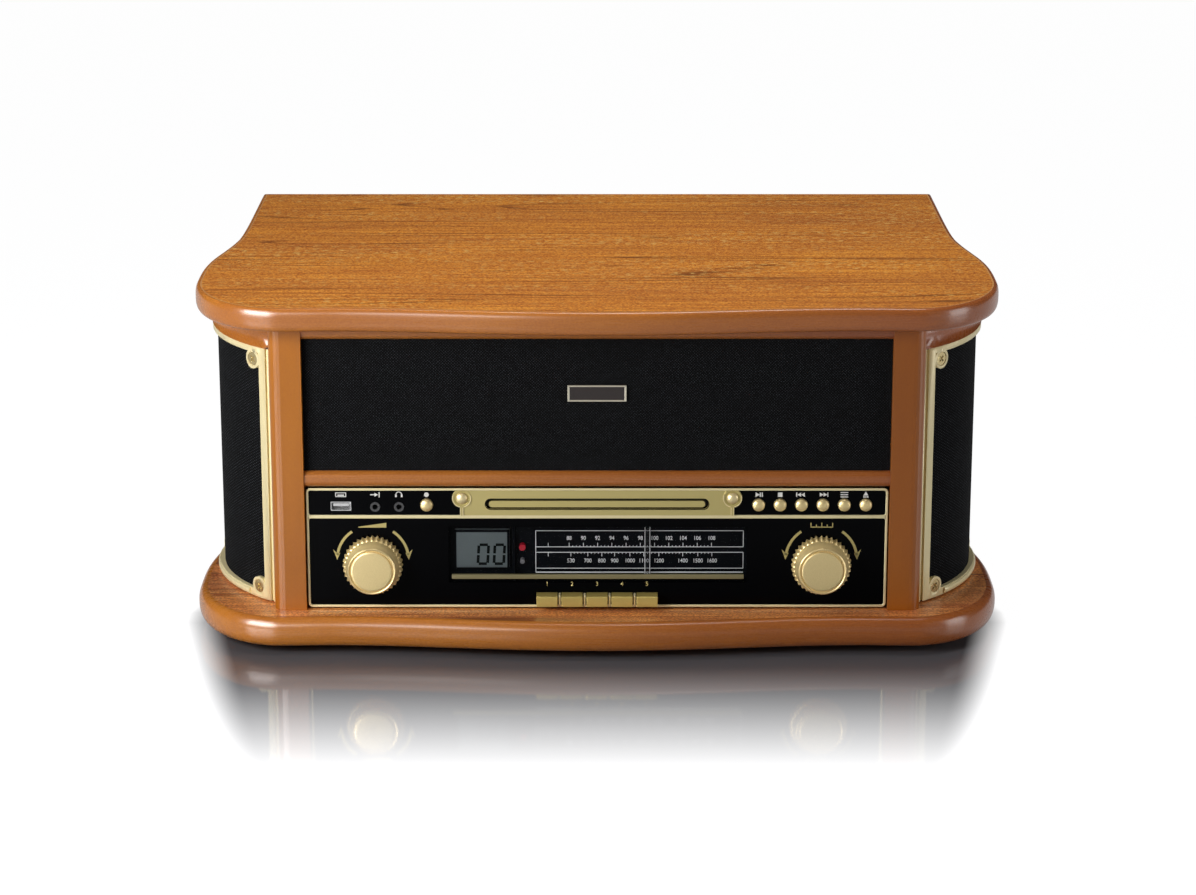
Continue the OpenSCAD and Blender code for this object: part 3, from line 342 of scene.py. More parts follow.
def clear_sheet(name, alpha):
    """Thin clear sheet: nearly see-through, with a little shine."""
    finish = Finish(name, Base_Color=(0.03, 0.033, 0.036, 1.0), Roughness=0.06, Alpha=alpha)
    finish.shader.inputs["Specular IOR Level"].default_value = 0.2


GOLD = (0.55, 0.46, 0.175)
BRIGHT_GOLD = (0.92, 0.80, 0.46)
BLACK = (0.012, 0.012, 0.013)
CHROME = (0.62, 0.62, 0.63)
wood("veneer", "x", (0.68, 0.285, 0.037), 0.36, grain=0.95, flecks=0.8, streaks=1.0)
wood("side_veneer", "y", (0.60, 0.235, 0.027), 0.36, grain=0.85, flecks=0.3, streaks=0.7, seed=4.0)
wood("base_veneer", "x", (0.62, 0.28, 0.08), 0.4, grain=1.2, flecks=0.2, streaks=2.0, seed=7.0)
# The mouldings carry painted shade that deepens towards the right.
wood("stained_moulding", "x", (0.53, 0.19, 0.03), 0.27, grain=0.16, seed=3.0, painted_right_shade=1.0)
wood("upright_moulding", "z", (0.47, 0.150, 0.006), 0.3, grain=0.05, seed=5.0, coat=0.2, painted_right_shade=0.8)
moulded("hardboard", (0.055, 0.045, 0.036), 0.7, grain=0.35, size=1.4)
moulded("rubber_foot", (0.02, 0.02, 0.02), 0.65, grain=0.2)
cloth("grille_cloth")
satin_gold("gold_trim", GOLD)
satin_gold("gold_bezel", BRIGHT_GOLD, metal=0.08)
# Painted highlight: a paler strip of wood along the lid's edge line, standing in for the light caught there.
wood("veneer_edge", "x", (0.72, 0.36, 0.12), 0.3, grain=0.2, seed=9.0)
satin_gold("gold_control", (0.86, 0.68, 0.33), 0.32)
two_tone(satin_gold("gold_frame", GOLD), on_ledge, (0.86, 0.76, 0.44), (0.24, 0.21, 0.10),
         metals=(0.3, 0.3), roughness=(0.36, 0.36))
satin_gold("gold_key", (0.64, 0.50, 0.15), 0.3, metal=0.45)
satin_gold("brass_screw", (0.66, 0.54, 0.28), 0.25, metal=0.85)
satin_gold("brass_plate", (0.62, 0.53, 0.34), 0.25, metal=1.0)
moulded("speaker_steel", (0.35, 0.35, 0.36), 0.35, grain=0.05, size=0.5, metal=0.9)
moulded("cone_paper", (0.03, 0.03, 0.032), 0.8, grain=0.4, size=1.0)
gloss_black("fascia_black", (0.0012, 0.0013, 0.0018), 0.16)
moulded("lcd_glass", (0.088, 0.115, 0.122), 0.4, grain=0.02, size=0.4)
gloss_black("dial_black", (0.0022, 0.003, 0.0045), 0.3)
clear_sheet("window_clear", 0.02)
clear_sheet("pointer_clear", 0.25)
two_tone(moulded("lamp_red", BLACK, 0.2, grain=0.02), past("Z", 61.0), (0.16, 0.16, 0.17),
         (0.42, 0.004, 0.02), metals=(0.0, 0.0), roughness=(0.2, 0.2))
two_tone(moulded("socket_metal", BLACK, 0.3, grain=0.03), past("X", -155.0), (0.6, 0.6, 0.6),
         (0.045, 0.045, 0.047), metals=(1.0, 0.0), roughness=(0.25, 0.4))
two_tone(satin_gold("stud_gold", GOLD), past("Y", FASCIA_Y - 2.0), (0.80, 0.67, 0.36), GOLD,
         metals=(0.35, 0.35), roughness=(0.36, 0.36))
two_tone(satin_gold("badge", GOLD), past("Y", FASCIA_Y - 1.3), (0.62, 0.58, 0.46), (0.022, 0.014, 0.012),
         metals=(0.7, 0.0), roughness=(0.3, 0.3))
two_tone(satin_gold("tray_black", GOLD), past("Y", FASCIA_Y + 3.4), GOLD, BLACK,
         metals=(0.6, 0.0), roughness=(0.34, 0.45))
moulded("arm_chrome", CHROME, 0.18, grain=0.01, size=0.5, metal=1.0)
two_tone(moulded("arm_two_tone", CHROME, 0.2, grain=0.01), arm_black, CHROME, BLACK,
         metals=(1.0, 0.0), roughness=(0.18, 0.35))
moulded("deck_black", (0.018, 0.017, 0.017), 0.4, grain=0.1, size=0.6)
moulded("motor_steel", (0.5, 0.5, 0.5), 0.35, grain=0.05, size=0.5, metal=1.0)
moulded("mechanism_grey", (0.2, 0.2, 0.21), 0.5)
moulded("board_green", (0.015, 0.12, 0.05), 0.45, grain=0.1, size=2.0)
moulded("platter_metal", (0.45, 0.45, 0.46), 0.3, grain=0.03, size=0.5, metal=0.95)
moulded("rubber_mat", (0.016, 0.016, 0.017), 0.7, grain=0.25, size=0.7)
satin_gold("pulley_brass", (0.72, 0.5, 0.2), 0.25, metal=1.0)
moulded("lever_black", (0.02, 0.02, 0.021), 0.4)
moulded("dial_white", (0.95, 0.97, 1.0), 0.6, grain=0.02)
moulded("mark_white", (0.95, 0.95, 0.92), 0.6, grain=0.02)
gloss_black("display_ink", (0.002, 0.003, 0.003), 0.4)

FUNCTION_KEYS = ["tuner_key", "disc_key", "tape_key", "phono_key", "equaliser_key"]
OWN_FINISHES = {"disc_surround": "stud_gold", "fascia_trim": "gold_frame", "badge_plate": "badge",
                "front_pillars": "upright_moulding", "side_panel_left": "side_veneer",
                "side_panel_right": "side_veneer", "tonearm": "arm_two_tone",
                "dial_pointer": "pointer_clear"}
OWN_FINISHES.update({key: "gold_key" for key in FUNCTION_KEYS})


def dress():
    """Gives every construction piece the finish of its slot, or one of its own."""
    for name, node in nodes.items():
        for slot in node.material_slots:
            wanted = OWN_FINISHES.get(name, slot.material.name if slot.material else "")
            if wanted in finishes:
                slot.material = finishes[wanted].material


def soften(node, width, segments=2):
    """Rounds the edges of a construction piece by a width in millimetres."""
    piece = nodes[node]
    weld = piece.modifiers.new("weld", "WELD")
    weld.merge_threshold = 0.01 * MM
    bevel = piece.modifiers.new("bevel", "BEVEL")
    bevel.width = width * MM
    bevel.segments = segments
    bevel.limit_method = "ANGLE"
    bevel.angle_limit = math.radians(35.0)
    bevel.use_clamp_overlap = True
    bevel.harden_normals = True


# Building pieces


def piece_from(name, points, faces, body, materials, smooth_angle=35.0):
    """Mesh piece that rides on a body; materials is a list of finishes."""
    mesh = bpy.data.meshes.new(name)
    mesh.from_pydata([tuple(p) for p in points], [], faces)
    return finish_piece(name, mesh, body, materials, smooth_angle)


def finish_piece(name, mesh, body, materials, smooth_angle):
    """Object with smooth shading and its finishes, on a body."""
    for entry in materials:
        mesh.materials.append(finishes[entry].material)
    mesh.validate()
    mesh.polygons.foreach_set("use_smooth", [True] * len(mesh.polygons))
    mesh.set_sharp_from_angle(angle=math.radians(smooth_angle))
    piece = bpy.data.objects.new(name, mesh)
    bpy.context.collection.objects.link(piece)
    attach(piece, body)
    return piece


def shell_of_rings(rings):
    """Faces between rings of points that each hold the same count, with a face on each end."""
    count = len(rings[0])
    points = [point for ring in rings for point in ring]
    faces = []
    for k in range(len(rings) - 1):
        for i in range(count):
            j = (i + 1) % count
            faces.append((k * count + i, k * count + j, (k + 1) * count + j, (k + 1) * count + i))
    faces.append(tuple(reversed(range(count))))
    faces.append(tuple(range((len(rings) - 1) * count, len(rings) * count)))
    return points, faces


# How far the back of a mark lies inside the face under it, and how thick most marks are
SUNK, MARK_THICK = 0.02, 0.1


def prisms(name, shapes, y_back, thick, body, finish_name):
    """Flat shapes, lists of (x, z) in millimetres, that stand out a little from an upright face."""
    bm = bmesh.new()
    for shape in shapes:
        area = sum(a[0] * b[1] - b[0] * a[1] for a, b in zip(shape, shape[1:] + shape[:1]))
        ring = list(shape) if area > 0 else list(reversed(shape))
        front = [bm.verts.new(at(x, y_back - thick, z)) for x, z in ring]
        back = [bm.verts.new(at(x, y_back, z)) for x, z in ring]
        bm.faces.new(front)
        bm.faces.new(list(reversed(back)))
        for i in range(len(ring)):
            j = (i + 1) % len(ring)
            bm.faces.new((front[j], front[i], back[i], back[j]))
    mesh = bpy.data.meshes.new(name)
    bm.to_mesh(mesh)
    bm.free()
    finish_piece(name, mesh, body, [finish_name], smooth_angle=20.0)


def bar(x0, z0, x1, z1, width):
    """Straight stroke between two points as a four-cornered shape."""
    length = math.hypot(x1 - x0, z1 - z0)
    nx = -(z1 - z0) / length * width / 2
    nz = (x1 - x0) / length * width / 2
    return [(x0 + nx, z0 + nz), (x0 - nx, z0 - nz), (x1 - nx, z1 - nz), (x1 + nx, z1 + nz)]


CURVE_STEPS = 24


def arc_strip(x, z, radius, width, start, end):
    """Curved stroke round a centre, as one closed shape."""
    turns = [math.radians(start + (end - start) * i / CURVE_STEPS) for i in range(CURVE_STEPS + 1)]
    outer = [(x + (radius + width / 2) * math.cos(a), z + (radius + width / 2) * math.sin(a)) for a in turns]
    inner = [(x + (radius - width / 2) * math.cos(a), z + (radius - width / 2) * math.sin(a)) for a in turns]
    return outer + inner[::-1]


def disc(x, z, radius):
    """Round dot."""
    turns = [2 * math.pi * i / CURVE_STEPS for i in range(CURVE_STEPS)]
    return [(x + radius * math.cos(a), z + radius * math.sin(a)) for a in turns]


def triangle(x, z, size, turn):
    """Equal-sided triangle that points in a direction, in degrees."""
    return [(x + size * math.cos(math.radians(turn + step)), z + size * math.sin(math.radians(turn + step)))
            for step in (0, 120, 240)]


def carve(piece, cutter_mesh):
    """Cuts closed forms out of a piece."""
    cutter = bpy.data.objects.new("cutter", cutter_mesh)
    bpy.context.collection.objects.link(cutter)
    modifier = piece.modifiers.new("carve", "BOOLEAN")
    modifier.operation = "DIFFERENCE"
    modifier.solver = "EXACT"
    modifier.object = cutter
    bpy.context.view_layer.update()
    result = bpy.data.meshes.new_from_object(piece.evaluated_get(bpy.context.evaluated_depsgraph_get()))
    piece.modifiers.clear()
    piece.data = result
    bpy.data.objects.remove(cutter)


# Serpentine boards

OUTLINE_W = 260.0
FRONT_BOW = 11.0
CORNER_X = 200.0
WIDEST_Y = 88.0
SHOULDER_Y = 100.0
WAIST_X, WAIST_Y = 245.0, 205.0
BACK_X = 241.5
FACE_LINE = 0.9


def curve_points(points, first, steps):
    """Points along a cubic curve with four control points."""
    result = []
    for i in range(first, steps + 1):
        t = i / steps
        weights = ((1 - t) ** 3, 3 * t * (1 - t) ** 2, 3 * t * t * (1 - t), t ** 3)
        result.append(tuple(sum(w * p[axis] for w, p in zip(weights, points)) for axis in (0, 1)))
    return result


def half_outline(half_w, back_y):
    """Right half of the serpentine outline, from the front centre to the back corner."""
    lobe_y = FRONT_BOW - 1.0
    points = curve_points(((0, 0), (70, 0), (110, FRONT_BOW), (170, FRONT_BOW)), 0, 14)
    for i in range(CURVE_STEPS + 1):
        a = math.radians(90.0 * i / CURVE_STEPS)
        points.append((CORNER_X + (OUTLINE_W - CORNER_X) * math.sin(a),
                       WIDEST_Y - (WIDEST_Y - lobe_y) * math.cos(a)))
    points += curve_points(((OUTLINE_W, SHOULDER_Y), (OUTLINE_W, SHOULDER_Y + 50),
                            (WAIST_X + 6, WAIST_Y - 45), (WAIST_X, WAIST_Y)), 0, 20)
    points += curve_points(((WAIST_X, WAIST_Y), (WAIST_X - 2.5, WAIST_Y + 25),
                            (WAIST_X - 2.5, WAIST_Y + 80), (BACK_X, back_y)), 1, 8)
    return [(x * half_w / OUTLINE_W, y) for x, y in points]


def serpentine_board(name, low, high, edge, fullness, body, materials):
    """Board with the serpentine outline, flat faces and a moulded edge that bulges.

    A higher fullness makes the edge flatter in its middle. The materials are those of the faces, of the edge
    and of the line between the edge and the upper face.
    """
    right = half_outline(high.x, high.y)
    outline = right + [(-x, y) for x, y in reversed(right[1:])]
    corner = len(right) - 1
    count = len(outline)
    thick = high.z - low.z
    steps = 26
    section = []
    for k in range(steps + 1):
        rise = math.sin(math.radians(-90.0 + 180.0 * k / steps))
        inset = edge * (1.0 - max(0.0, 1.0 - abs(rise) ** fullness) ** (1.0 / fullness))
        section.append((inset, low.z + thick * (1.0 + rise) / 2))
    section.append((edge + FACE_LINE, high.z))
    rings = []
    for inset, z in section:
        ring = []
        for i, (x, y) in enumerate(outline):
            ahead, behind = outline[(i + 1) % count], outline[i - 1]
            out = Vector((ahead[1] - behind[1], behind[0] - ahead[0])).normalized()
            if i in (corner, corner + 1):
                out = Vector((1.0 if i == corner else -1.0, 0.0))
            ring.append(at(x - out.x * inset, y - out.y * inset, z))
        rings.append(ring)
    board = piece_from(name, *shell_of_rings(rings), body, materials, smooth_angle=30.0)
    for polygon in board.data.polygons:
        if len(polygon.vertices) == 4:
            polygon.material_index = 2 if polygon.index >= steps * count else 1
    return board


HOLLOW_LOW, HOLLOW_HIGH = (-226, 42), (226, 338)
HOLLOW_DEEP = 9
HINGE_XS = (-150, 150)
GROOVE_R, GROOVE_LONG, GROOVE_DROP = 2.9, 42, 0.2


def lid():
    """Lid board with its hollow and the grooves for the hinge knuckles."""
    # The thin line between the lid's edge and its top is painted paler, as a painted highlight.
    board = serpentine_board("lid_shell", LID_LOW, LID_HIGH, edge=3.2, fullness=2.8, body="lid",
                             materials=["veneer", "stained_moulding", "veneer_edge"])
    cuts = bmesh.new()
    margin = 1
    low, high = at(*HOLLOW_LOW, LID_LOW.z - margin), at(*HOLLOW_HIGH, LID_LOW.z + HOLLOW_DEEP)
    hollow = bmesh.ops.create_cube(cuts, size=1.0)["verts"]
    bmesh.ops.scale(cuts, vec=high - low, verts=hollow)
    bmesh.ops.translate(cuts, vec=(low + high) / 2, verts=hollow)
    for x in HINGE_XS:
        groove = bmesh.ops.create_cone(cuts, segments=CURVE_STEPS, radius1=GROOVE_R * MM,
                                       radius2=GROOVE_R * MM, depth=GROOVE_LONG * MM,
                                       cap_ends=True)["verts"]
        middle = at(x, LID_HIGH.y, LID_LOW.z - GROOVE_DROP)
        for vertex in groove:
            vertex.co = Vector((vertex.co.z, vertex.co.x, vertex.co.y)) + middle
    mesh = bpy.data.meshes.new("lid_cuts")
    cuts.to_mesh(mesh)
    cuts.free()
    carve(board, mesh)
    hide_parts("lid_board")


def base():
    """Base board, whose faces are veneered up to the moulded edge."""
    board = serpentine_board("base_shell", BASE_LOW, BASE_HIGH, edge=6.0, fullness=2.4, body="cabinet",
                             materials=["base_veneer", "stained_moulding", "base_veneer"])
    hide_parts("base_board")


# Knobs and marks

KNOB_X = 145.1
KNOB_Z = 55.2


def knob(name, x, body, node):
    """Knob with tapered ridges, a smooth shoulder, a raised rim and a sunk ring.

    Each row of its profile is the radius on a ridge, the one between two ridges, and the place out from the
    fascia.
    """
    ridges = 36
    per_ridge = 8
    steepness = 1.25
    count = ridges * per_ridge
    profile = [(19.6, 18.2, 0.4), (19.3, 17.9, 5.4), (18.9, 17.7, 6.3), (18.2, 17.6, 6.8), (17.5, 17.5, 7.0),
               (17.35, 17.35, 9.0), (17.0, 17.0, 11.2), (16.4, 16.4, 13.0), (15.95, 15.95, 14.0),
               (15.75, 15.75, 14.8), (15.6, 15.6, 15.5), (15.3, 15.3, 16.0), (14.9, 14.9, 16.25),
               (14.5, 14.5, 16.2), (14.15, 14.15, 15.9), (14.0, 14.0, 15.4), (13.95, 13.95, 15.1),
               (13.3, 13.3, 15.1), (13.25, 13.25, 15.9), (13.1, 13.1, 16.3), (12.8, 12.8, 16.45),
               (12.0, 12.0, 16.5), (4.0, 4.0, 16.5)]
    rings = []
    for crest, valley, out in profile:
        ring = []
        for i in range(count):
            swing = abs(2.0 * ((i / per_ridge) % 1.0) - 1.0)
            r = valley + (crest - valley) * max(0.0, 1.0 - steepness * (1.0 - swing))
            a = 2.0 * math.pi * i / count
            ring.append(at(x + r * math.cos(a), FASCIA_Y - out, KNOB_Z + r * math.sin(a)))
        rings.append(ring)
    piece = piece_from(name, *shell_of_rings(rings), body, ["gold_control"], smooth_angle=38.0)
    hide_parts(node)


ARROW_Z = 58.3


def swung(radius, degrees):
    """Place at a distance and direction from the middle of the arrowed arcs."""
    return radius * math.cos(math.radians(degrees)), ARROW_Z + radius * math.sin(math.radians(degrees))


def turn_marks():
    """Arrowed arcs round both knobs, a rising wedge over one and a small scale over the other."""
    arc = arc_strip(0.0, ARROW_Z, 23.1, 1.7, 8.0, 55.0)
    head = [swung(26.6, 15), (23.2, ARROW_Z - 0.2), swung(21.6, 12), swung(23.3, 10)]
    shapes = [[(knob_x + side * px, pz) for px, pz in shape]
              for knob_x in (-KNOB_X, KNOB_X) for side in (-1, 1) for shape in (arc, head)]
    half_wedge, foot, thin_end, thick_end = 9.0, 80.0, 80.5, 83.2
    wedge = [(-half_wedge, foot), (half_wedge, foot), (half_wedge, thick_end), (-half_wedge, thin_end)]
    shapes.append([(px - KNOB_X, pz) for px, pz in wedge])
    ticks, pitch, line, low, short, tall = 5, 3.5, 0.6, 80.3, 82.0, 83.2
    half_scale = pitch * (ticks - 1) / 2
    shapes.append(bar(KNOB_X - half_scale - line / 2, low, KNOB_X + half_scale + line / 2, low, line))
    for i in range(ticks):
        x = KNOB_X - half_scale + pitch * i
        shapes.append(bar(x, low, x, tall if i % 2 == 0 else short, line))
    prisms("turn_marks", shapes, FASCIA_Y + SUNK, MARK_THICK, "cabinet", "gold_trim")


# Place and radius of a stud, and how far the studs and the plate between them stand out
STUD_X, STUD_Z, STUD_LOBE = 87.2, 100.3, 6.2
STUD_OUT, SURROUND_OUT = 1.9, 1.4


def stud_rims():
    """Fine raised line round the lobe and down the stem of both studs."""
    foot = span("disc_surround")[0].z + 0.1
    radius, sweep, stem = STUD_LOBE - 0.35, 98, 0.85
    shapes = []
    for x in (-STUD_X, STUD_X):
        shapes += [arc_strip(x, STUD_Z, radius, 0.55, start, start + sweep) for start in (160, 282)]
        shapes += [bar(x + edge, foot, x + edge, STUD_Z - STUD_LOBE, 0.45) for edge in (-stem, stem)]
    prisms("stud_rims", shapes, FASCIA_Y - STUD_OUT + SUNK, 0.3, "cabinet", "gold_bezel")


SLOT_X, SLOT_Z, SLOT_R = 71.8, 96.2, 3.3


def slot_line():
    """Painted shade: a black line round the slot of the disc drawer, standing in for the shaded gap round it.
    """
    end_x, radius, width = SLOT_X - SLOT_R, SLOT_R + 0.27, 0.5
    shapes = [arc_strip(x, SLOT_Z, radius, width, start, start + 180)
              for x, start in ((-end_x, 90), (end_x, -90))]
    shapes += [bar(-end_x, SLOT_Z + up, end_x, SLOT_Z + up, width) for up in (-radius, radius)]
    prisms("slot_line", shapes, FASCIA_Y - SURROUND_OUT + SUNK, MARK_THICK, "cabinet", "display_ink")


BUTTON_X, BUTTON_PITCH = 104.1, 13.8
SYMBOL_Z, SYMBOL_SIZE = 102.2, 1.25
SOCKET_XS = (-165.1, -143.1, -127.7)
RECORD_X = -109.9


def button_marks():
    """Plain symbols over the sockets and round buttons, each drawn round its own middle."""
    skip = [triangle(-1.0, 0, 1.3, 0), triangle(0.9, 0, 1.3, 0), bar(2.5, -1.2, 2.5, 1.2, 0.5)]
    play = [triangle(-0.9, 0, 1.5, 0), bar(0.8, -1.2, 0.8, 1.2, 0.6), bar(1.8, -1.2, 1.8, 1.2, 0.6)]
    rows = [bar(-2.0, rise, 2.0, rise, 0.5) for rise in (-1.2, 0.0, 1.2)]
    eject = [triangle(0, 0.3, 1.5, 90), bar(-1.4, -1.2, 1.4, -1.2, 0.6)]
    plug = [bar(-2.6, rise, 2.6, rise, 0.4) for rise in (-1.0, 1.0)]
    plug += [bar(side, -1.2, side, 1.2, 0.4) for side in (-2.6, 2.6)]
    plug.append(bar(-1.7, -0.25, 1.7, -0.25, 0.6))
    line_in = [bar(-2.4, 0, -0.2, 0, 0.5), triangle(0.4, 0, 1.2, 0), bar(2.2, -1.4, 2.2, 1.4, 0.5)]
    headphones = [arc_strip(0, 0, 1.5, 0.45, 0, 180)]
    headphones += [bar(side, 0.1, side, -1.3, 0.9) for side in (-1.5, 1.5)]
    symbols = [play, [bar(-1.2, 0, 1.2, 0, 2.4)], skip, skip, rows, eject]
    mirrored = 2
    placed = [(BUTTON_X + BUTTON_PITCH * i, -1 if i == mirrored else 1, symbol)
              for i, symbol in enumerate(symbols)]
    placed += [(x, 1, symbol) for x, symbol in zip(SOCKET_XS, (plug, line_in, headphones))]
    placed.append((RECORD_X, 1, [disc(0, 0, 1.25)]))
    shapes = [[(x + way * SYMBOL_SIZE * px, SYMBOL_Z + SYMBOL_SIZE * pz) for px, pz in shape]
              for x, way, symbol in placed for shape in symbol]
    prisms("button_marks", shapes, FASCIA_Y + SUNK, MARK_THICK, "cabinet", "mark_white")


# Digits: height as a share of the font's size, narrowing, and thickening as a share of the height
CAPITAL, NARROW, BOLDER = 0.72, 0.86, 0.012
# How far the middle of a digit stands in front of its face, and how thick it is
DIGIT_OUT, DIGIT_THICK = 0.05, 0.06


def number_shapes(text, x, z, height):
    """Plain digits of a height as points and faces in millimetres, centred on a place of an upright face."""
    curve = bpy.data.curves.new("digits", "FONT")
    curve.body = text
    curve.align_x = "CENTER"
    curve.align_y = "CENTER"
    curve.size = height / CAPITAL
    curve.resolution_u = 3
    curve.offset = BOLDER * height
    holder = bpy.data.objects.new("digits", curve)
    bpy.context.collection.objects.link(holder)
    bpy.context.view_layer.update()
    mesh = bpy.data.meshes.new_from_object(holder.evaluated_get(bpy.context.evaluated_depsgraph_get()))
    points = [(v.co.x * NARROW + x, v.co.y + z) for v in mesh.vertices]
    faces = [tuple(p.vertices) for p in mesh.polygons]
    bpy.data.objects.remove(holder)
    bpy.data.curves.remove(curve)
    bpy.data.meshes.remove(mesh)
    return points, faces


def numbers(name, entries, face_y, height, finish_name):
    """Rows of plain numbers on an upright face of the cabinet: entries are (text, x, z)."""
    points = []
    faces = []
    for text, x, z in entries:
        new_points, new_faces = number_shapes(text, x, z, height)
        start = len(points)
        points += [at(px, face_y - DIGIT_OUT, pz) for px, pz in new_points]
        faces += [tuple(start + i for i in face) for face in new_faces]
    piece = piece_from(name, points, faces, "cabinet", [finish_name])
    thicken = piece.modifiers.new("thicken", "SOLIDIFY")
    thicken.thickness = DIGIT_THICK * MM
    thicken.offset = 0.0


def key_numbers():
    """Numbers 1 to 5 over the function keys."""
    pitch, z, height = 16.2, 41.5, 3.0
    middle = len(FUNCTION_KEYS) // 2
    entries = [(str(i + 1), pitch * (i - middle), z) for i in range(len(FUNCTION_KEYS))]
    numbers("key_numbers", entries, FASCIA_Y, height, "gold_trim")


# Tuning dial and display

# The plate lies behind the fascia, so its marks sit lower by what the view down on them asks for.
VIEW_SLOPE = 0.364
DIAL_DROP = VIEW_SLOPE * (PLATE_Y - FASCIA_Y)
DIAL_X = (-39.8, 94.8)
UPPER_NUMBERS = range(88, 110, 2)
UPPER_FIRST_X, UPPER_PITCH, UPPER_PARTS = -18.1, 9.23, 4
LOWER_NUMBERS = {"530": -17.0, "700": -6.0, "800": 3.1, "900": 11.4, "1000": 21.3, "1100": 30.3,
                 "1200": 40.1, "1400": 55.6, "1500": 65.4, "1600": 74.5}
END_TICK_X = -31.7


def dial():
    """Lines, ticks and numbers of the tuning dial, on its black plate."""
    top, upper_numbers, upper_line, lower_line, lower_numbers, bottom, bright = (
        z - DIAL_DROP for z in (78.1, 73.0, 67.1, 63.4, 57.6, 52.5, 49.8))
    thin, thick, tick_width = 0.42, 0.7, 0.36
    tall, short, number_height = 2.75, 1.0, 2.8
    lower_gap = 2.3
    left, right = DIAL_X

    def tick(x, z, rise):
        """Short upright line from one of the long ones; a negative rise hangs down."""
        return bar(x, z, x, z + rise, tick_width)

    shapes = [bar(left, z, right, z, thin) for z in (top, upper_line, lower_line, bottom)]
    shapes.append(bar(left, bright, right, bright, thick))
    for x, z0, z1 in ((left, bright, top), (right, upper_line, top), (right, bottom, lower_line)):
        shapes.append(bar(x, z0, x, z1, thin))
    for i in range(UPPER_PARTS * (len(UPPER_NUMBERS) - 1) + 1):
        x = UPPER_FIRST_X + UPPER_PITCH * i / UPPER_PARTS
        shapes.append(tick(x, upper_line, tall if i % UPPER_PARTS == 0 else short))
    lower_xs = list(LOWER_NUMBERS.values())
    for a, b in zip(lower_xs, lower_xs[1:]):
        parts = max(3, round((b - a) / lower_gap))
        shapes += [tick(a + (b - a) * i / parts, lower_line, -short) for i in range(1, parts)]
    shapes += [tick(x, lower_line, -tall) for x in lower_xs]
    shapes += [tick(END_TICK_X, upper_line, tall), tick(END_TICK_X, lower_line, -tall)]
    prisms("dial_lines", shapes, PLATE_Y + SUNK, MARK_THICK, "cabinet", "dial_white")
    entries = [(str(number), UPPER_FIRST_X + UPPER_PITCH * i, upper_numbers)
               for i, number in enumerate(UPPER_NUMBERS)]
    entries += [(text, x, lower_numbers) for text, x in LOWER_NUMBERS.items()]
    numbers("dial_numbers", entries, PLATE_Y, number_height, "dial_white")


def pointer_lines():
    """Two light edges and a small drop on the clear pointer."""
    low, high = span("dial_pointer")
    middle = (low.x + high.x) / 2
    half, foot, head = 1.6, low.z + 5.2, high.z - 0.4
    shapes = [bar(middle + side * half, foot, middle + side * half, head, 0.3) for side in (-1, 1)]
    shapes.append(disc(middle, low.z + 8.0, 1.0))
    prisms("pointer_lines", shapes, low.y + SUNK, MARK_THICK, "pointer", "dial_white")


def display_digits():
    """Two seven-bar digits that show zero, and the black mask over the sides and top of the display."""
    low, high = span("lcd_display")
    width, foot, head, slant, gap, stroke = 6.3, 54.4, 67.3, 0.06, 0.55, 1.8
    digit_xs = (-77.3, -66.9)
    middle = (foot + head) / 2
    bars = [(x, z0 + gap, x, z1 - gap) for x in (0, width) for z0, z1 in ((foot, middle), (middle, head))]
    bars += [(gap, z, width - gap, z) for z in (foot, head)]
    shapes = [bar(left + x0 + slant * (z0 - foot), z0, left + x1 + slant * (z1 - foot), z1, stroke)
              for left in digit_xs for x0, z0, x1, z1 in bars]
    prisms("display_digits", shapes, low.y + SUNK, 0.08, "cabinet", "display_ink")
    left, right, top = low.x + 0.9, high.x - 1.6, high.z - 1.7
    edges = [bar((low.x + left) / 2, low.z, (low.x + left) / 2, high.z, left - low.x),
             bar((high.x + right) / 2, low.z, (high.x + right) / 2, high.z, high.x - right),
             bar(low.x, (high.z + top) / 2, high.x, (high.z + top) / 2, high.z - top)]
    prisms("display_mask", edges, low.y + 0.01, 0.15, "cabinet", "dial_black")


# Back

# Steps of a screw's dome, out and up, as shares of its radius
SCREW_PROFILE = ((1.0, 0.0), (0.98, 0.125), (0.8, 0.25), (0.45, 0.34), (0.1, 0.36))
SCREW_SIDES = 20
CROSS_TURNS = (35.0, 125.0)


def rear_screws(name, places, radius, body, finish_name):
    """Domed screws with a dark cross, on faces that look to the back; places are (x, y, z)."""
    points = []
    faces = []

    def join(rings):
        """Adds one closed form."""
        new_points, new_faces = shell_of_rings(rings)
        faces.extend(tuple(len(points) + i for i in face) for face in new_faces)
        points.extend(new_points)

    turns = [-2 * math.pi * i / SCREW_SIDES for i in range(SCREW_SIDES)]
    for x, y, z in places:
        join([[at(x + r * radius * math.cos(a), y + out * radius, z + r * radius * math.sin(a))
               for a in turns] for r, out in SCREW_PROFILE])
    screws = len(faces)
    half, width, deep, out = 0.5 * radius, 0.2 * radius, 0.3 * radius, 0.37 * radius
    for x, y, z in places:
        for turn in CROSS_TURNS:
            dx, dz = half * math.cos(math.radians(turn)), half * math.sin(math.radians(turn))
            shape = bar(x - dx, z - dz, x + dx, z + dz, width)
            join([[at(px, y + out - step, pz) for px, pz in reversed(shape)] for step in (deep, 0.0)])
    piece = piece_from(name, points, faces, body, [finish_name, "lever_black"])
    for polygon in piece.data.polygons:
        polygon.material_index = 0 if polygon.index < screws else 1


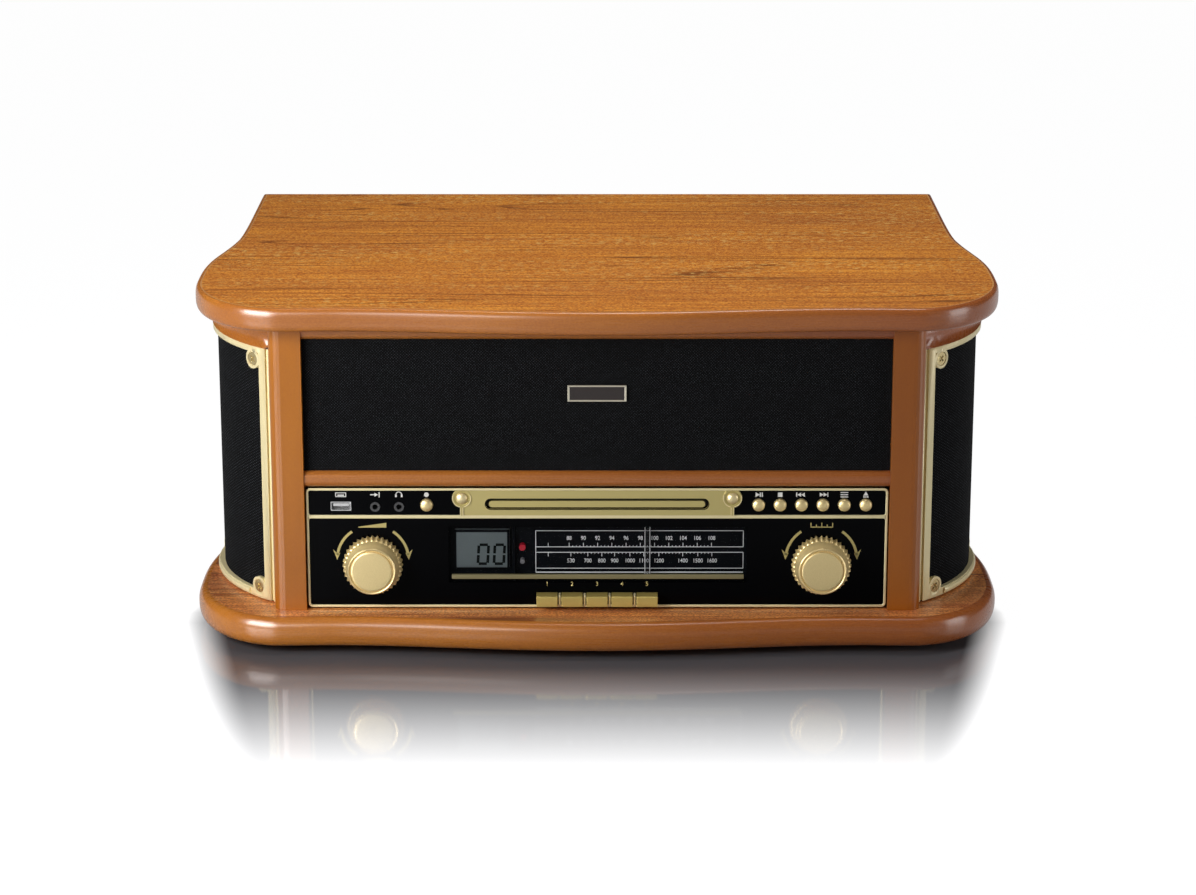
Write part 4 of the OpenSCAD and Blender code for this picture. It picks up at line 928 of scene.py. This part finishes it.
def back_fixings():
    """Screws round the back panel and in the hinge leaves."""
    back = span("back_panel")[1].y
    outer, inner, low, middle, high = 226, 76, 34, 120, 206
    places = [(x, back, z) for x in (-outer, -inner, inner, outer) for z in (low, high)]
    places += [(x, back, middle) for x in (-outer, outer)]
    rear_screws("back_screws", places, 3.4, "cabinet", "motor_steel")
    radius, pitch, leaf = 2.6, 12, 1.2
    xs = [x + side * pitch for x in HINGE_XS for side in (-1, 0, 1)]
    lower = [(x, back + leaf, span("hinge_lower_leaves")[0].z + 6) for x in xs]
    upper = [(x, LID_HIGH.y + leaf, LID_LOW.z + 8.5) for x in xs]
    rear_screws("hinge_screws", lower, radius, "cabinet", "brass_plate")
    rear_screws("lid_hinge_screws", upper, radius, "lid", "brass_plate")


# Studio


def area_light(name, place, target, width, height, power, only_gloss):
    """Soft oblong light that looks at a target; with only_gloss it shows in reflections alone."""
    data = bpy.data.lights.new(name, "AREA")
    data.shape = "RECTANGLE"
    data.size = width
    data.size_y = height
    data.energy = power
    lamp = bpy.data.objects.new(name, data)
    lamp.location = place
    lamp.rotation_euler = (Vector(target) - Vector(place)).to_track_quat("-Z", "Y").to_euler()
    lamp.visible_diffuse = not only_gloss
    bpy.context.collection.objects.link(lamp)


# Half sizes, in metres, and rates of the painted shadow, a dark patch under the object
SHADOW_HALF_DEPTH = 0.185
SHADOW_HALF_WIDTHS = (0.248, 0.22)
SHADOW_STEP = (-0.08, 0.02)
SHADOW_STRAIGHT, SHADOW_TAPER = 0.1, 0.2
SIDE_RATE = 7.0
FADE, FADE_POWER = 0.17, 1.45


def floor():
    """Glossy floor with a painted shadow, dark under and near the object, that turns to glowing white in the
    distance.

    The painted shadow is wider in front than at the back, and narrows past the straight part. At its sides it
    ends many times as fast as in front.
    """
    size = 5.0
    mesh = bpy.data.meshes.new("floor")
    corners = [(-size, -size, 0.0), (size, -size, 0.0), (size, size, 0.0), (-size, size, 0.0)]
    mesh.from_pydata(corners, [], [(0, 1, 2, 3)])
    plane = bpy.data.objects.new("floor", mesh)
    bpy.context.collection.objects.link(plane)
    finish = Finish("floor", Base_Color=(0.1, 0.1, 0.11, 1.0), Roughness=0.06)
    place = finish.parts()
    across = finish.calc("ABSOLUTE", place["X"])
    along = finish.calc("ABSOLUTE", place["Y"])
    ahead = finish.beyond(along, SHADOW_HALF_DEPTH)
    half = finish.calc("SUBTRACT", finish.grade(place["Y"], *SHADOW_STEP, *SHADOW_HALF_WIDTHS),
                       finish.product(finish.beyond(along, SHADOW_STRAIGHT), SHADOW_TAPER))
    aside = finish.product(finish.beyond(across, half), SIDE_RATE)
    squares = finish.calc("ADD", finish.calc("POWER", ahead, 2.0), finish.calc("POWER", aside, 2.0))
    # Painted shadow: the glow is held back near the object, so that the dark floor shows there.
    unshaded_floor = finish.calc("POWER", finish.grade(finish.calc("SQRT", squares), 0.0, FADE), FADE_POWER)
    path = finish.tree.nodes.new("ShaderNodeLightPath").outputs
    to_camera, to_gloss, to_rest = 0.97, 0.5, 0.13
    level = finish.calc("MAXIMUM", finish.product(path["Is Camera Ray"], to_camera),
                        finish.grade(path["Is Glossy Ray"], 0.0, 1.0, to_rest, to_gloss))
    finish.put(Emission_Color=(1.0, 1.0, 1.0, 1.0), Emission_Strength=finish.product(unshaded_floor, level))
    mesh.materials.append(finish.material)


TO_OBJECT, TO_CAMERA = 0.035, 1.0


def surroundings():
    """White to the camera and dim to the object, so that the lights shape it."""
    world = bpy.data.worlds.new("surroundings")
    bpy.context.scene.world = world
    world.use_nodes = True
    tree = world.node_tree
    background = tree.nodes["Background"]
    path = tree.nodes.new("ShaderNodeLightPath")
    strength = tree.nodes.new("ShaderNodeMapRange")
    strength.inputs["To Min"].default_value = TO_OBJECT
    strength.inputs["To Max"].default_value = TO_CAMERA
    tree.links.new(path.outputs["Is Camera Ray"], strength.inputs["Value"])
    tree.links.new(strength.outputs["Result"], background.inputs["Strength"])
    background.inputs["Color"].default_value = (1.0, 1.0, 1.0, 1.0)


# Place, target, width, height, power, and whether a light shows in gloss only
LIGHTS = {
    "key": ((-0.68, -0.68, 0.48), (-0.12, -0.1, 0.1), 0.5, 0.4, 6.6, False),
    "fill": ((1.1, -0.9, 0.4), (0.1, -0.1, 0.12), 1.2, 0.9, 1.0, True),
    "overhead": ((0.09, -0.08, 1.05), (0.03, -0.02, 0.2), 0.55, 0.55, 5.6, False),
    "side": ((1.15, -0.42, 0.26), (0.22, -0.08, 0.12), 0.5, 0.5, 3.4, False),
    "gloss": ((-0.9, -1.02, 0.36), (-0.15, -0.1, 0.1), 0.85, 0.46, 25.0, True),
    "sheen": ((-0.55, -1.7, 0.55), (-0.1, -0.17, 0.1), 0.5, 0.35, 4.0, True),
}
for name, settings in LIGHTS.items():
    area_light(name, *settings)
floor()
surroundings()
dress()
lid()
base()
knob("volume_knob_ridged", -KNOB_X, "volume_knob", "volume_knob")
knob("tuning_knob_ridged", KNOB_X, "tuning_knob", "tuning_knob")
turn_marks()
stud_rims()
slot_line()
button_marks()
key_numbers()
dial()
pointer_lines()
display_digits()
back_fixings()

# Width of the rounded edges, in millimetres
EDGES = {
    0.25: ["bezel_screws", "platter", "stay_arm", "lid_hardware", "hinge_lower_leaves", "rear_sockets"],
    0.3: ["badge_plate", "speed_lever", *FUNCTION_KEYS],
    0.4: ["disc_surround", "arm_base", "side_panel_left", "side_panel_right", "cassette_mechanism"],
    0.5: ["fascia_trim", "corner_bezels", "corner_housings", "front_pillars", "disc_tray"],
    0.8: ["turntable_deck", "rubber_feet", "circuit_boards", "disc_mechanism", "power_transformer"],
}
for width, names in EDGES.items():
    for name in names:
        soften(name, width)
soften("front_rails", 3.0, segments=5)
